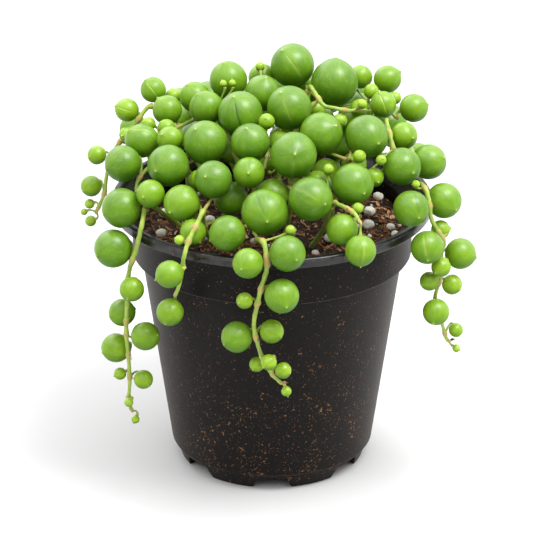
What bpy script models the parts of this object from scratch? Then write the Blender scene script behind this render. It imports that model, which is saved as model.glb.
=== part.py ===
"""Potted string of pearls: a trailing succulent in a round nursery pot, as separate solids.

Frame: origin on the pot's axis at the surface it stands on, +Z up, -Y towards the viewer.
The tables below are in millimetres. Everything that is built from them is in metres.
"""

from math import copysign, cos, pi, radians, sin

import bmesh
import bpy
import numpy as np
from mathutils import Matrix, Vector
from mathutils.geometry import intersect_point_line

MM = 0.001
GAP = 0.35  # clearance between neighbouring solids
ROOT_CLEARANCE = 0.7  # from the soil to the middle of a stem's lower end

# Pot
POT_HEIGHT = 70.0
LIP_RADIUS = 40.0
LIP_INNER_RADIUS = 38.3
LIP_DEPTH = 2.4
LIP_SLOPE = 2.2  # height over which the collar widens to the lip
COLLAR_RADIUS = 35.0
COLLAR_BOTTOM = 55.8
WALL_TOP_RADIUS = 32.9
WALL_BOTTOM_RADIUS = 25.6
WALL_THICKNESS = 1.2
FOOT_HEIGHT = 4.3
FOOT_TOP_RADIUS = 24.9
FOOT_BOTTOM_RADIUS = 23.4
FOOT_THICKNESS = 1.6
FLOOR_THICKNESS = 1.2
FLOOR_UNDERSIDE = 3.7
EDGE = 0.5  # size of the small chamfers on the lip
INNER_SLOPE = 0.6  # how far the inner corners lean from the outer ones
POT_SIDES = 48

NOTCHES = 7
NOTCH_HEIGHT = 3.1
NOTCH_TOP_WIDTH = 7.3
NOTCH_BOTTOM_WIDTH = 9.6
NOTCH_INNER = 17.0  # from the axis to the near and far side of a notch's cutter
NOTCH_OUTER = 29.0

DRAIN_HOLES = 5
DRAIN_RADIUS = 2.0
DRAIN_CIRCLE = 14.0

# Soil
SOIL_EDGE = 62.2
SOIL_CROWN = 1.1  # how much higher the soil is in the middle
SOIL_SIDES = 36

# Stems and leaves
STEM_RADIUS = 0.65
STALK_RADIUS = 0.36
STEM_STEP = 4.5  # spacing of a stem's points along its curve
TIP = 0.06  # a leaf's pointed tip, as a share of its diameter

# Perlite grains on the soil: x, y, size
PERLITE = [
    (-27, 2.5, 2.8), (-27.5, -9, 2.5), (-15.5, -3, 2.5), (-16.5, -12.5, 2.2), (-4.5, -14.5, 1.6),
    (24.5, 3.5, 2.7), (24, -5.5, 2.7), (29.5, -4.5, 2.0), (30.5, -9, 2.0), (14, -13.5, 2.3),
    (10.5, -21, 1.6), (27, 14, 2.4), (-24, 17, 2.6), (9, 27, 2.4), (-8, 24, 2.0),
]

# Each string of pearls: the points its stem passes through from the soil outwards, and its leaves as
# x, y, z and diameter. A leaf is joined to the nearest stem of its own string by a short stalk.
STRINGS = {
    "string_far_left": {
        "stems": [
            [(-20, 14, 63), (-23, 13, 76), (-27, 11, 86.5), (-30.5, 10, 90), (-34, 9, 86),
             (-38, 9, 81), (-40.5, 10, 76.5), (-41.8, 10.5, 71), (-42.3, 11, 67), (-43.6, 11.5, 63),
             (-45, 12, 60)],
        ],
        "pearls": [
            (-29.7, 12, 92.5, 6.5), (-35.5, 10.5, 87.8, 6), (-36.3, 6, 84, 3.8), (-43, 10, 76.5, 4.8),
            (-45, 12, 67, 5.4), (-46, 12, 62.5, 2.6), (-47.8, 12, 60.5, 1.8), (-46.2, 12.5, 57.8, 2.9),
            (-25, 14.5, 91, 4), (-33, 17.5, 78.5, 7),
        ],
    },
    "string_left_tail": {
        "stems": [
            [(-21, -7, 63), (-26, -11, 69), (-29.5, -17, 74.5), (-30.8, -21.5, 75.3),
             (-31.8, -25.7, 71.8), (-33, -26.4, 66.8), (-34.9, -25.2, 60.3), (-35.5, -24.5, 51.8),
             (-35.9, -24, 44), (-35.4, -23.5, 34.5), (-35.4, -23, 28.5), (-35.8, -22.5, 24),
             (-34.8, -22.5, 20.8)],
        ],
        "pearls": [
            (-30, -20, 78.2, 7), (-35.2, -20.5, 75.2, 9.7), (-37.8, -24, 65.2, 9.3), (-34.3, -28, 57.5, 6),
            (-37, -20.2, 47, 6.7), (-38.4, -20.7, 37.5, 7.3), (-31.2, -25, 43, 7.1),
            (-37.2, -22.5, 31.3, 3.1), (-33.2, -23.5, 30.7, 4.8), (-35.6, -24.6, 24.8, 2.3),
            (-34.3, -22.3, 19.3, 2.1),
        ],
    },
    "string_front_left": {
        "stems": [
            [(-14, -15, 63), (-16, -21, 69), (-16.8, -27, 76), (-16.6, -30.8, 78.8), (-18, -33.5, 76.6),
             (-19.8, -36, 73.7), (-21, -38.4, 70.5), (-21.6, -37.8, 66), (-22.4, -36, 61.5),
             (-23.6, -34.5, 58)],
        ],
        "pearls": [
            (-14.2, -23, 83.2, 9.2), (-21, -25, 79.2, 8.8), (-19, -31.3, 74, 6.4), (-22.2, -35.5, 73.3, 2.4),
            (-22.3, -39, 67.5, 6.7), (-24.5, -34.2, 54.6, 6.7), (-10, -18.5, 77, 8.2),
        ],
    },
    "string_front_centre": {
        "stems": [
            [(-1, -20, 63), (-2.5, -27, 69.5), (-3.5, -33.5, 72.5), (-2, -39.5, 74.3),
             (-1.3, -43, 69.8), (-2.7, -43.5, 64.1), (-3.9, -43, 58.4), (-4.4, -42.5, 53.7),
             (-3.4, -42, 48.4), (-1.8, -41, 43.2), (0.6, -40.5, 39.4), (2.5, -40.2, 37.3)],
        ],
        "pearls": [
            (-0.5, -31, 77, 11.3), (-8.8, -34.5, 73.8, 8.7), (-5.6, -44, 71, 7.3), (3.2, -43.5, 73.3, 8.6),
            (1.2, -44.5, 63.4, 8.3), (-5.8, -43.3, 60.8, 4), (-7.2, -41.5, 50.5, 7.6), (-0.8, -42, 52.1, 5.8),
            (-1.3, -43, 45, 3.9), (-3.4, -39.5, 42.2, 3.7), (2.4, -41.4, 41.5, 4), (3, -40, 36.2, 2.5),
            (4.3, -36.5, 76.3, 2.5),
        ],
    },
    "string_front_right": {
        "stems": [
            [(9.5, -17, 63), (12.5, -21, 70), (14.2, -25, 78), (15.8, -29, 79.8),
             (19.5, -32.5, 79), (21.2, -36, 77.3)],
        ],
        "pearls": [
            (17.3, -33, 75.3, 7.7), (20.8, -38.3, 72.2, 7.5), (20.5, -28, 78.5, 2.8), (8.5, -29, 79.6, 10.7),
            (13.8, -21.5, 85.6, 2.8), (10.5, -19, 81, 7.5),
        ],
    },
    "string_right_tail": {
        "stems": [
            [(20, 2, 63), (25, -1, 74), (30, -5, 80), (34.5, -10.5, 78), (36.5, -16, 79.5),
             (37.8, -19.5, 78), (38.6, -21, 73), (40, -21.3, 70), (41.9, -20.5, 66.2),
             (41.2, -20, 62), (41.4, -19.5, 57.3), (40.2, -19.5, 51.4), (40.4, -19.3, 47.3),
             (42, -19, 43.7), (43.2, -18.5, 39.4), (44.3, -18.5, 38.2)],
            [(30, -5, 80), (29.6, -9, 86), (28.2, -4, 91), (28.6, 1, 90)],
        ],
        "pearls": [
            (31.5, -14, 83.2, 9.3), (37.2, -10, 82.5, 8.7), (34.5, -22.5, 76.3, 8.8), (42, -15, 74.8, 8.8),
            (38.2, -24, 67.3, 8.2), (46.3, -16, 61.2, 7.7), (41.2, -18, 68.3, 4.6), (41.2, -22.3, 61, 4.8),
            (39, -21, 56.2, 4.7), (44.2, -18.5, 54, 5), (40.2, -23.3, 49, 6.6), (44.8, -18.5, 41.3, 3.6),
            (45.3, -18.5, 37.2, 2), (34.8, -19, 81, 2), (26.2, -16, 82.2, 4.8), (26.4, -17.5, 86.6, 2.6),
            (32.4, -4, 87.6, 6.8),
        ],
    },
    "string_top": {
        "stems": [
            [(5, 8, 63), (7.5, 8.5, 80), (8.8, 8, 92.5), (9.4, 6.5, 96.5), (10.8, 2.5, 96), (12.8, -2, 94.8),
             (15.8, -3.5, 94.6), (19, -3, 93.8), (21.5, -1.5, 93.6), (23.5, -0.5, 93)],
        ],
        "pearls": [
            (5.2, 16, 98.6, 11), (16, 12, 95.6, 11.8), (4.2, -2, 94.2, 11), (16.8, -3.5, 92, 3.6),
            (22, -2.5, 95.2, 2.4), (11, 5, 91, 4.5),
        ],
    },
    "string_crown_left": {
        "stems": [
            [(-11, 5.5, 63), (-14.5, 8, 78), (-14.5, 8, 89), (-19, 5, 88.5), (-25, 2.5, 86.5),
             (-28.5, 2, 85)],
        ],
        "pearls": [
            (-11, 13, 95.3, 9.6), (-19.2, 10, 92.3, 7.8), (-16.5, 3, 92, 8.4), (-26.5, 6, 90.2, 7.4),
            (-30.3, 4, 88, 3.5), (-27.5, -1, 87.3, 4.5), (-12, 7.5, 97, 1.8), (-10, 7.8, 97, 1.8),
        ],
    },
    "string_crown_left_low": {
        "stems": [
            [(-19, -4, 63), (-20.5, -8, 75), (-21.5, -10.5, 82.5), (-26.5, -8.5, 83), (-31, -8.5, 80.3),
             (-33, -11, 78.2), (-33.4, -14, 76.5)],
        ],
        "pearls": [
            (-17, -11, 88.5, 10.8), (-25.2, -16, 83.2, 10.2), (-24.5, -8.5, 88, 6.5), (-31.2, -3, 86, 8.5),
            (-35.4, -9, 82.6, 9), (-18.5, -16, 81, 5),
        ],
    },
    "string_crown_middle": {
        "stems": [
            [(-4, 4, 63), (-4, 3, 78), (-3.2, 1.5, 88.5), (-2.2, -5, 88.6), (-1.5, -11, 86),
             (-2, -16, 83.5)],
        ],
        "pearls": [
            (-2.5, 19, 94.5, 7), (-3, 16.5, 98, 2.4), (-2.4, 6.5, 94.8, 9), (-7.6, -3.2, 93, 11),
            (-4.8, -14, 88.8, 9.5), (-1.4, -9, 93.3, 4), (1.5, -6.5, 87, 5.5), (-6.5, -21, 85, 7.6),
        ],
    },
    "string_crown_front": {
        "stems": [
            [(3.5, -10, 63), (4.5, -14, 74), (5, -18, 80), (4.5, -22.5, 81)],
        ],
        "pearls": [(6, -18, 88.2, 11.3), (0.5, -21.5, 79, 8)],
    },
    "string_crown_right": {
        "stems": [
            [(14, -7, 63), (15.8, -9.5, 75), (18, -12, 82.8), (19.3, -15.5, 86.2), (21.5, -17, 84)],
        ],
        "pearls": [
            (13, -11, 90.2, 10.6), (23.8, -8.5, 89.5, 10.8), (19.3, -22, 82.8, 10.1), (21, -18, 87.5, 3.2),
        ],
    },
    "string_crown_right_back": {
        "stems": [
            [(21, 10, 63), (23.5, 11, 78), (25.5, 10.5, 89), (29, 8, 89.5), (31.5, 6, 88)],
        ],
        "pearls": [
            (22, 17, 95, 6), (28.8, 16, 95, 7), (24.8, 9, 94.2, 3.8), (30.7, 11, 91.8, 3.2),
            (27.3, 4.8, 92.6, 6.6), (34.6, 6.5, 90.3, 7.2), (21.8, 5, 91.5, 4.5), (33.5, 14, 75, 6),
        ],
    },
}

# The strings at the back, each as azimuth in degrees, height of its arch and height of its far end
BACK_STRINGS = [
    (38, 77, 64), (55, 81, 72), (72, 83, 48), (89, 82, 66), (106, 82, 36), (123, 77, 64), (140, 74, 52),
]
# Their way up: distance from the axis, sway to the side, share of the climb to the arch, and drop
BACK_CLIMB = [(15, 0, 0, 0), (19, 1.2, 0.5, 0), (26, 0.6, 1, 0), (33, -0.8, 1, 2)]
BACK_OVER_LIP = [(40, -1.2, 76), (41.5, 0, 71)]  # distance from the axis, sway and height
BACK_OVERHANG = 42.0  # distance from the axis at which they hang down
HANG_TOP = 66.0  # height from which they hang straight
HANG_STEP = 7.0
HANG_SWAY = 1.5
HANG_WAVE = 0.35  # radians of sway to each millimetre of height
BACK_FIRST = 16.0  # along the stem, from the root to the first leaf
BACK_SPACING = 5.8  # along the stem, between neighbouring leaves
BACK_LARGEST = 10.0  # diameter of their largest leaves
LARGEST_OUTSIDE = 7.4  # diameter of their largest leaves over and beyond the lip
SMALLER_BELOW = 66.0  # height under which the leaves get smaller

# Short strings behind the crown, each as azimuth in degrees and height of its arch
INNER_STRINGS = [(45, 84), (63, 87), (81, 89), (131, 83)]
INNER_CLIMB = [(11, 0, 0, 0), (12.5, 0, 0.5, 0), (15.5, 0.5, 1, 2), (19.5, 0, 1, 0), (22.5, -0.5, 1, 0)]
INNER_FIRST = 17.0
INNER_SPACING = 5.4
INNER_LARGEST = 7.6

LEAF_SIZES = (8.6, 7.2, 9.4, 6.4, 8.2, 10.0, 5.6, 7.8)  # diameters that these strings take in turn
LEAF_TURNS = (70, -60, 5, -95, 45, -20, 100, -45)  # where leaves sit around the stem, in degrees
LEAST_HANGING_TURN = 1.05  # radians, so that leaves beside the pot sit at the stem's sides
LEAF_STANDOFF = 1.4  # from the middle of the stem to the leaf's near side
LIP_NEAR = 2.0  # how far inside the lip leaves already count as hanging
LIP_ABOVE = 3.0  # and how far above it
LEAST_SHARE = 0.4  # of its size, for the smallest leaf at the end of a string
SHRINK_LENGTH = 60.0  # height over which leaves would shrink to nothing

# Easing the leaves apart
ROUNDS = 400
LEAF_PUSH = 0.8
STEM_PUSH = 0.25
LONGEST_MOVE = 0.5  # in one round
SETTLE_STEP = 1.2  # spacing of the stem points that leaves are kept off
LEAF_MARGIN = 0.1  # beyond the clearance, from leaf to leaf
STEM_MARGIN = 0.15  # and from leaf to stem
SOIL_MARGIN = 0.6  # and from leaf to soil, for its lumps
TINY = 1e-9  # keeps a division from failing
GIVE = (0.7, 1.25, 0.8)  # how readily leaves move sideways, front to back and up
FRONT_SHARE = 0.04  # how readily the leaves set by hand give way to the others
LIP_MIDDLE = 1.2  # from the lip's outer edge and from its top to the middle of its section
LIP_REACH = 1.7  # from there to its surface

# Colours and finish: red, green, blue, roughness
FINISHES = {
    "pot_plastic": (0.012, 0.012, 0.014, 0.38),
    "potting_mix": (0.035, 0.021, 0.013, 0.95),
    "perlite": (0.62, 0.58, 0.50, 0.9),
    "leaf_green": (0.13, 0.27, 0.05, 0.35),
}


def clear_scene():
    for item in list(bpy.data.objects):
        bpy.data.objects.remove(item)


def material(name):
    red, green, blue, roughness = FINISHES[name]
    made = bpy.data.materials.new(name)
    made.use_nodes = True
    shader = made.node_tree.nodes["Principled BSDF"]
    shader.inputs["Base Color"].default_value = (red, green, blue, 1)
    shader.inputs["Roughness"].default_value = roughness
    shader.inputs["Metallic"].default_value = 0.0
    return made


def collection(name):
    made = bpy.data.collections.new(name)
    bpy.context.scene.collection.children.link(made)
    return made


def mesh_object(name, mesh, home, finish=None):
    made = bpy.data.objects.new(name, mesh)
    home.objects.link(made)
    if finish:
        mesh.materials.append(finish)
    else:
        made.hide_render = True
        made.display_type = "WIRE"
    return made


def mesh_from(bm, name, smooth=True):
    mesh = bpy.data.meshes.new(name)
    bm.to_mesh(mesh)
    bm.free()
    if smooth:
        mesh.shade_smooth()
        mesh.set_sharp_from_angle(angle=radians(40))
    return mesh


def cut(target, tools, operation="DIFFERENCE"):
    """Cuts the tools from the target, or joins them to it with UNION."""
    modifier = target.modifiers.new(operation.title(), "BOOLEAN")
    modifier.operation = operation
    modifier.solver = "EXACT"
    modifier.object = tools
    modifier.use_self = operation == "UNION"


def outline_object(name, points, home, finish, sides):
    """A turned solid from (radius, height) points that run down the outside and up the inside."""
    bm = bmesh.new()
    verts = [bm.verts.new((radius * MM, 0, height * MM)) for radius, height in points]
    for first, second in zip(verts, verts[1:]):
        bm.edges.new((first, second))
    made = mesh_object(name, mesh_from(bm, name, smooth=False), home, finish)
    screw = made.modifiers.new("Turn", "SCREW")
    screw.steps = sides
    screw.render_steps = sides
    screw.use_merge_vertices = True
    screw.merge_threshold = 0.00001
    screw.use_smooth_shade = False
    return made


def pot_outline():
    collar_inner = COLLAR_RADIUS - WALL_THICKNESS
    lip_bottom = POT_HEIGHT - LIP_DEPTH
    under_lip = lip_bottom - LIP_SLOPE
    foot_inner = FOOT_BOTTOM_RADIUS - FOOT_THICKNESS
    floor_top = FLOOR_UNDERSIDE + FLOOR_THICKNESS
    return [
        (LIP_INNER_RADIUS, POT_HEIGHT),
        (LIP_RADIUS - EDGE, POT_HEIGHT),
        (LIP_RADIUS, POT_HEIGHT - EDGE),
        (LIP_RADIUS, lip_bottom),
        (LIP_RADIUS - WALL_THICKNESS, lip_bottom),
        (COLLAR_RADIUS, under_lip),
        (COLLAR_RADIUS, COLLAR_BOTTOM),
        (WALL_TOP_RADIUS, COLLAR_BOTTOM),
        (WALL_BOTTOM_RADIUS, FOOT_HEIGHT),
        (FOOT_TOP_RADIUS, FOOT_HEIGHT),
        (FOOT_BOTTOM_RADIUS, 0),
        (foot_inner, 0),
        (foot_inner + INNER_SLOPE, FLOOR_UNDERSIDE),
        (0, FLOOR_UNDERSIDE),
        (0, floor_top),
        (WALL_BOTTOM_RADIUS - WALL_THICKNESS, floor_top),
        (WALL_TOP_RADIUS - WALL_THICKNESS, COLLAR_BOTTOM - WALL_THICKNESS),
        (collar_inner, COLLAR_BOTTOM + WALL_THICKNESS),
        (collar_inner, under_lip + INNER_SLOPE),
        (LIP_INNER_RADIUS - EDGE, POT_HEIGHT - WALL_THICKNESS),
        (LIP_INNER_RADIUS, POT_HEIGHT),
    ]


def foot_cutters(home):
    """Seven slots through the foot ring, wider at the floor, and the drain holes, as one mesh."""
    bm = bmesh.new()
    for turn in range(NOTCHES):
        made = bmesh.ops.create_cube(bm, size=1)["verts"]
        for vert in made:
            width = NOTCH_TOP_WIDTH if vert.co.z > 0 else NOTCH_BOTTOM_WIDTH
            vert.co.x *= width
            vert.co.y = -NOTCH_INNER if vert.co.y > 0 else -NOTCH_OUTER
            vert.co.z = NOTCH_HEIGHT if vert.co.z > 0 else -1
        bmesh.ops.rotate(bm, verts=made, matrix=Matrix.Rotation(2 * pi * turn / NOTCHES, 3, "Z"))
    for turn in range(DRAIN_HOLES):
        angle = 2 * pi * (turn + 0.5) / DRAIN_HOLES
        place = Matrix.Translation((DRAIN_CIRCLE * cos(angle), DRAIN_CIRCLE * sin(angle), FLOOR_UNDERSIDE))
        bmesh.ops.create_cone(
            bm, cap_ends=True, segments=12, radius1=DRAIN_RADIUS, radius2=DRAIN_RADIUS,
            depth=4 * FLOOR_THICKNESS, matrix=place,
        )
    bmesh.ops.scale(bm, vec=(MM, MM, MM), verts=bm.verts)
    return mesh_object("foot_cutters", mesh_from(bm, "foot_cutters", smooth=False), home)


def soil_height(x, y):
    """The soil's surface: a low mound with soft lumps."""
    crown = SOIL_CROWN * (1 - (x * x + y * y) / 33.5**2)
    return SOIL_EDGE + crown + 0.35 * sin(0.42 * x + 1) * cos(0.37 * y) + 0.2 * sin(0.9 * x - 0.7 * y)


def make_soil(home, finish):
    """A plug that fills the pot from its floor to under the lip, with its clearance all round."""
    floor_top = FLOOR_UNDERSIDE + FLOOR_THICKNESS
    bottom = WALL_BOTTOM_RADIUS - WALL_THICKNESS - GAP
    shoulder = WALL_TOP_RADIUS - WALL_THICKNESS - GAP
    top = COLLAR_RADIUS - WALL_THICKNESS - GAP
    points = [(radius, SOIL_EDGE) for radius in (0, 6, 12, 18, 24, 29)]
    points += [
        (top, SOIL_EDGE),
        (top, COLLAR_BOTTOM + WALL_THICKNESS + 0.2),
        (shoulder, COLLAR_BOTTOM - WALL_THICKNESS),
        (bottom + 0.1, floor_top + GAP),
        (0, floor_top + GAP),
    ]
    made = outline_object("soil", points, home, finish, SOIL_SIDES)
    turned = bpy.data.meshes.new_from_object(made.evaluated_get(bpy.context.evaluated_depsgraph_get()))
    made.modifiers.clear()
    made.data = turned
    for vert in turned.vertices:
        if vert.co.z > (SOIL_EDGE - 0.1) * MM:
            vert.co.z = soil_height(vert.co.x / MM, vert.co.y / MM) * MM
    return made


def make_perlite(home, finish):
    for number, (x, y, size) in enumerate(PERLITE):
        bm = bmesh.new()
        bmesh.ops.create_icosphere(bm, subdivisions=1, radius=size / 2)
        spin = Matrix.Rotation(1.3 * number, 3, "Z") @ Matrix.Rotation(0.7 * number, 3, "X")
        bmesh.ops.rotate(bm, verts=bm.verts, matrix=spin)
        bmesh.ops.scale(bm, vec=(1.1, 0.95, 0.8), verts=bm.verts)
        lift = soil_height(x, y) + 0.4 * size + GAP + 0.1
        bmesh.ops.translate(bm, vec=(x, y, lift), verts=bm.verts)
        bmesh.ops.scale(bm, vec=(MM, MM, MM), verts=bm.verts)
        name = f"perlite_{number + 1:02d}"
        mesh_object(name, mesh_from(bm, name), home, finish)


def smooth_route(points, step=STEM_STEP):
    """Points at about one step apart on a Catmull-Rom curve through the given ones."""
    given = [Vector(point) for point in points]
    padded = [2 * given[0] - given[1], *given, 2 * given[-1] - given[-2]]
    route = []
    for before, start, end, after in zip(padded, padded[1:], padded[2:], padded[3:]):
        count = max(1, round((end - start).length / step))
        for number in range(count):
            t = number / count
            route.append(
                0.5 * (2 * start + (end - before) * t + (2 * before - 5 * start + 4 * end - after) * t**2
                       + (3 * start - before - 3 * end + after) * t**3)
            )
    return [*route, given[-1]]


def climb(points, azimuth, arch):
    """The start of a string as far as its arch, with the ways outwards and sideways at its azimuth."""
    out = Vector((cos(radians(azimuth)), sin(radians(azimuth)), 0))
    side = Vector((-out.y, out.x, 0))
    stem = []
    for distance, sway, share, drop in points:
        height = SOIL_EDGE + share * (arch - SOIL_EDGE) - drop
        stem.append(distance * out + sway * side + Vector((0, 0, height)))
    return stem, out, side


def back_string(number, azimuth, arch, end):
    """A string that rises from the soil, arches over the back of the pot's lip and hangs down."""
    way = (-1) ** number
    rise = [(distance, sway * way, share, drop) for distance, sway, share, drop in BACK_CLIMB]
    stem, out, side = climb(rise, azimuth, arch)
    for distance, sway, height in BACK_OVER_LIP:
        stem.append(distance * out + sway * way * side + Vector((0, 0, height)))
    height = HANG_TOP
    while height > end:
        sway = HANG_SWAY * sin(HANG_WAVE * height)
        stem.append(BACK_OVERHANG * out + sway * side + Vector((0, 0, height)))
        height -= HANG_STEP
    pearls = leaves_along(stem, BACK_FIRST, BACK_SPACING, BACK_LARGEST, 3 * number)
    return {"stems": [stem], "pearls": pearls}


def inner_string(number, azimuth, arch):
    """A short string that stands up behind the crown and leans backwards."""
    stem, _, _ = climb(INNER_CLIMB, azimuth, arch)
    pearls = leaves_along(stem, INNER_FIRST, INNER_SPACING, INNER_LARGEST, 5 * number + 2)
    return {"stems": [stem], "pearls": pearls}


def leaves_along(stem, first, spacing, largest, start):
    """Leaves set at a spacing along a stem from its first one on, each turned and sized in turn."""
    route = smooth_route(stem, 1.0)
    pearls = []
    travelled = 0.0
    for before, here in zip(route, route[1:]):
        travelled += (here - before).length
        if travelled < first + spacing * len(pearls):
            continue
        turn = radians(LEAF_TURNS[(len(pearls) + start) % len(LEAF_TURNS)])
        if here.z < POT_HEIGHT + LIP_ABOVE and here.xy.length > LIP_INNER_RADIUS - LIP_NEAR:
            turn = copysign(max(abs(turn), LEAST_HANGING_TURN), turn)
        along = (here - before).normalized()
        out = Vector((here.x, here.y, 0)).normalized()
        up = (out + Vector((0, 0, 1))).normalized()
        up = (up - up.dot(along) * along).normalized()
        across = along.cross(up)
        size = min(largest, LEAF_SIZES[(len(pearls) + start) % len(LEAF_SIZES)])
        if here.xy.length > LIP_INNER_RADIUS - LIP_NEAR:
            size = min(size, LARGEST_OUTSIDE)
        if here.z < SMALLER_BELOW and here.xy.length > LIP_INNER_RADIUS:
            size *= max(LEAST_SHARE, 1 - (SMALLER_BELOW - here.z) / SHRINK_LENGTH)
        place = here + (up * cos(turn) + across * sin(turn)) * (size / 2 + LEAF_STANDOFF)
        pearls.append((*place, size))
    return pearls


def all_strings():
    """The strings by hand and those at the back, each with its root just clear of the soil."""
    strings = dict(STRINGS)
    for number, (azimuth, arch, end) in enumerate(BACK_STRINGS):
        strings[f"string_back_{number + 1}"] = back_string(number, azimuth, arch, end)
    for number, (azimuth, arch) in enumerate(INNER_STRINGS):
        strings[f"string_inner_{number + 1}"] = inner_string(number, azimuth, arch)
    for item in strings.values():
        x, y, _ = item["stems"][0][0]
        item["stems"][0][0] = (x, y, soil_height(x, y) + ROOT_CLEARANCE)
    return strings


def settle(strings):
    """Eases the leaves apart until none touches a leaf, a stem, the pot or the soil.

    They give way more front to back than sideways. Returns each string's leaf centres."""
    owner = np.array([n for n, item in enumerate(strings.values()) for _ in item["pearls"]])
    leaves = np.array([leaf for item in strings.values() for leaf in item["pearls"]], float)
    place, radius = leaves[:, :3].copy(), leaves[:, 3] / 2
    ease = np.where(owner < len(STRINGS), FRONT_SHARE, 1.0)
    share = ease[:, None] / (ease[:, None] + ease[None])
    stem_points = []
    for item in strings.values():
        for stem in item["stems"]:
            stem_points.extend(smooth_route(stem, SETTLE_STEP))
    stem_points = np.array([tuple(point) for point in stem_points])
    for _ in range(ROUNDS):
        push = np.zeros_like(place)
        between = place[:, None] - place[None]
        apart = np.linalg.norm(between, axis=2) + np.eye(len(place))
        need = radius[:, None] + radius[None] + GAP + LEAF_MARGIN - apart
        np.fill_diagonal(need, 0)
        push += (between / apart[:, :, None] * (np.maximum(need, 0) * share)[:, :, None]).sum(1) * LEAF_PUSH
        between = place[:, None] - stem_points[None]
        apart = np.linalg.norm(between, axis=2) + TINY
        need = radius[:, None] + STEM_RADIUS + GAP + STEM_MARGIN - apart
        push += (between / apart[:, :, None] * np.maximum(need, 0)[:, :, None]).sum(1) * STEM_PUSH
        push += off_the_pot(place, radius)
        place += np.clip(push * GIVE, -LONGEST_MOVE, LONGEST_MOVE)
    return [place[owner == number] for number in range(len(strings))]


def off_the_pot(place, radius):
    """How far each leaf has to move to clear the lip, the wall outside and the soil."""
    push = np.zeros_like(place)
    out = np.linalg.norm(place[:, :2], axis=1)
    away = place[:, :2] / out[:, None]
    lip = np.array([LIP_RADIUS - LIP_MIDDLE, POT_HEIGHT - LIP_MIDDLE])
    to_lip = np.stack([out, place[:, 2]], 1) - lip
    apart = np.linalg.norm(to_lip, axis=1) + TINY
    need = np.maximum(radius + LIP_REACH + GAP - apart, 0) / apart
    push[:, :2] += away * (to_lip[:, 0] * need)[:, None]
    push[:, 2] += to_lip[:, 1] * need
    low = place[:, 2] < POT_HEIGHT - LIP_NEAR
    outside = low & (out > COLLAR_RADIUS)
    need = np.where(outside, np.maximum(LIP_RADIUS + radius + GAP - out, 0), 0)
    need[place[:, 2] + radius < POT_HEIGHT - LIP_DEPTH] = 0
    push[:, :2] += away * need[:, None]
    floor = SOIL_EDGE + SOIL_CROWN + SOIL_MARGIN + radius + GAP
    push[:, 2] += np.where(out < COLLAR_RADIUS, np.maximum(floor - place[:, 2], 0), 0)
    return push


def leaf_outline(stalk, size):
    """(radius, height) points of a leaf on its stalk, which starts at height 0, up to its pointed tip."""
    rings = 4 if size >= 8 else 3 if size >= 5 else 2
    points = [(STALK_RADIUS, 0), (STALK_RADIUS, stalk)]
    for ring in range(rings):
        angle = pi * (ring + 1) / (rings + 1)
        points.append((size / 2 * sin(angle), stalk + size / 2 * (1 - cos(angle))))
    return [*points, (0, stalk + size * (1 + TIP / 2) - 0.1)]


def add_leaf(bm, root, centre, size):
    """One leaf as a closed turned body, from inside its stem to its tip."""
    to_leaf = centre - root
    stalk = to_leaf.length - size / 2 + 0.05
    sides = 8 if size >= 8 else 6 if size >= 5 else 5
    turn_axis = Vector((0, 0, 1)).rotation_difference(to_leaf.normalized()).to_matrix().to_4x4()
    place = Matrix.Translation(root) @ turn_axis
    rings = []
    for radius, height in leaf_outline(stalk, size):
        count = 1 if radius == 0 else sides
        ring = []
        for number in range(count):
            angle = 2 * pi * number / sides
            ring.append(bm.verts.new(place @ Vector((radius * cos(angle), radius * sin(angle), height))))
        rings.append(ring)
    bm.faces.new(rings[0][::-1])
    for lower, upper in zip(rings, rings[1:]):
        for number in range(sides):
            after = (number + 1) % sides
            if len(upper) == 1:
                bm.faces.new((lower[number], lower[after], upper[0]))
            else:
                bm.faces.new((lower[number], lower[after], upper[after], upper[number]))


def stem_mesh(name, points, home):
    """A round stem as a closed mesh, from a curve with a bevel and filled caps."""
    curve = bpy.data.curves.new(name, "CURVE")
    curve.dimensions = "3D"
    curve.bevel_depth = STEM_RADIUS * MM
    curve.bevel_resolution = 0
    curve.use_fill_caps = True
    route = smooth_route(points)
    spline = curve.splines.new("POLY")
    spline.points.add(len(route) - 1)
    for point, place in zip(spline.points, route):
        point.co = (*(place * MM), 1)
    made = bpy.data.objects.new(name, curve)
    home.objects.link(made)
    bpy.context.view_layer.update()
    mesh = bpy.data.meshes.new_from_object(made.evaluated_get(bpy.context.evaluated_depsgraph_get()))
    bpy.data.objects.remove(made)
    bm = bmesh.new()
    bm.from_mesh(mesh)
    bmesh.ops.remove_doubles(bm, verts=bm.verts, dist=0.00001)
    bmesh.ops.recalc_face_normals(bm, faces=bm.faces)
    return mesh_from(bm, name)


def nearest_on(stems, point):
    """The closest point to a leaf on its string's stems."""
    best = None
    for stem in stems:
        route = smooth_route(stem)
        for start, end in zip(route, route[1:]):
            spot, share = intersect_point_line(point, start, end)
            spot = start.lerp(end, min(max(share, 0.05), 0.95))
            if best is None or (spot - point).length < (best - point).length:
                best = spot
    return best


def make_string(name, item, centres, home, tools, finish):
    stem, *branches = item["stems"]
    made = mesh_object(name, stem_mesh(name, stem, home), home, finish)
    for number, branch in enumerate(branches):
        part = mesh_object(f"{name}_branch_{number + 1}", stem_mesh(name, branch, tools), tools)
        cut(made, part, "UNION")
    bm = bmesh.new()
    for (*_, size), centre in zip(item["pearls"], centres):
        centre = Vector(centre)
        add_leaf(bm, nearest_on(item["stems"], centre), centre, size)
    bmesh.ops.scale(bm, vec=(MM, MM, MM), verts=bm.verts)
    bmesh.ops.recalc_face_normals(bm, faces=bm.faces)
    leaves = mesh_object(f"{name}_leaves", mesh_from(bm, f"{name}_leaves"), tools)
    cut(made, leaves, "UNION")
    return made


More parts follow.
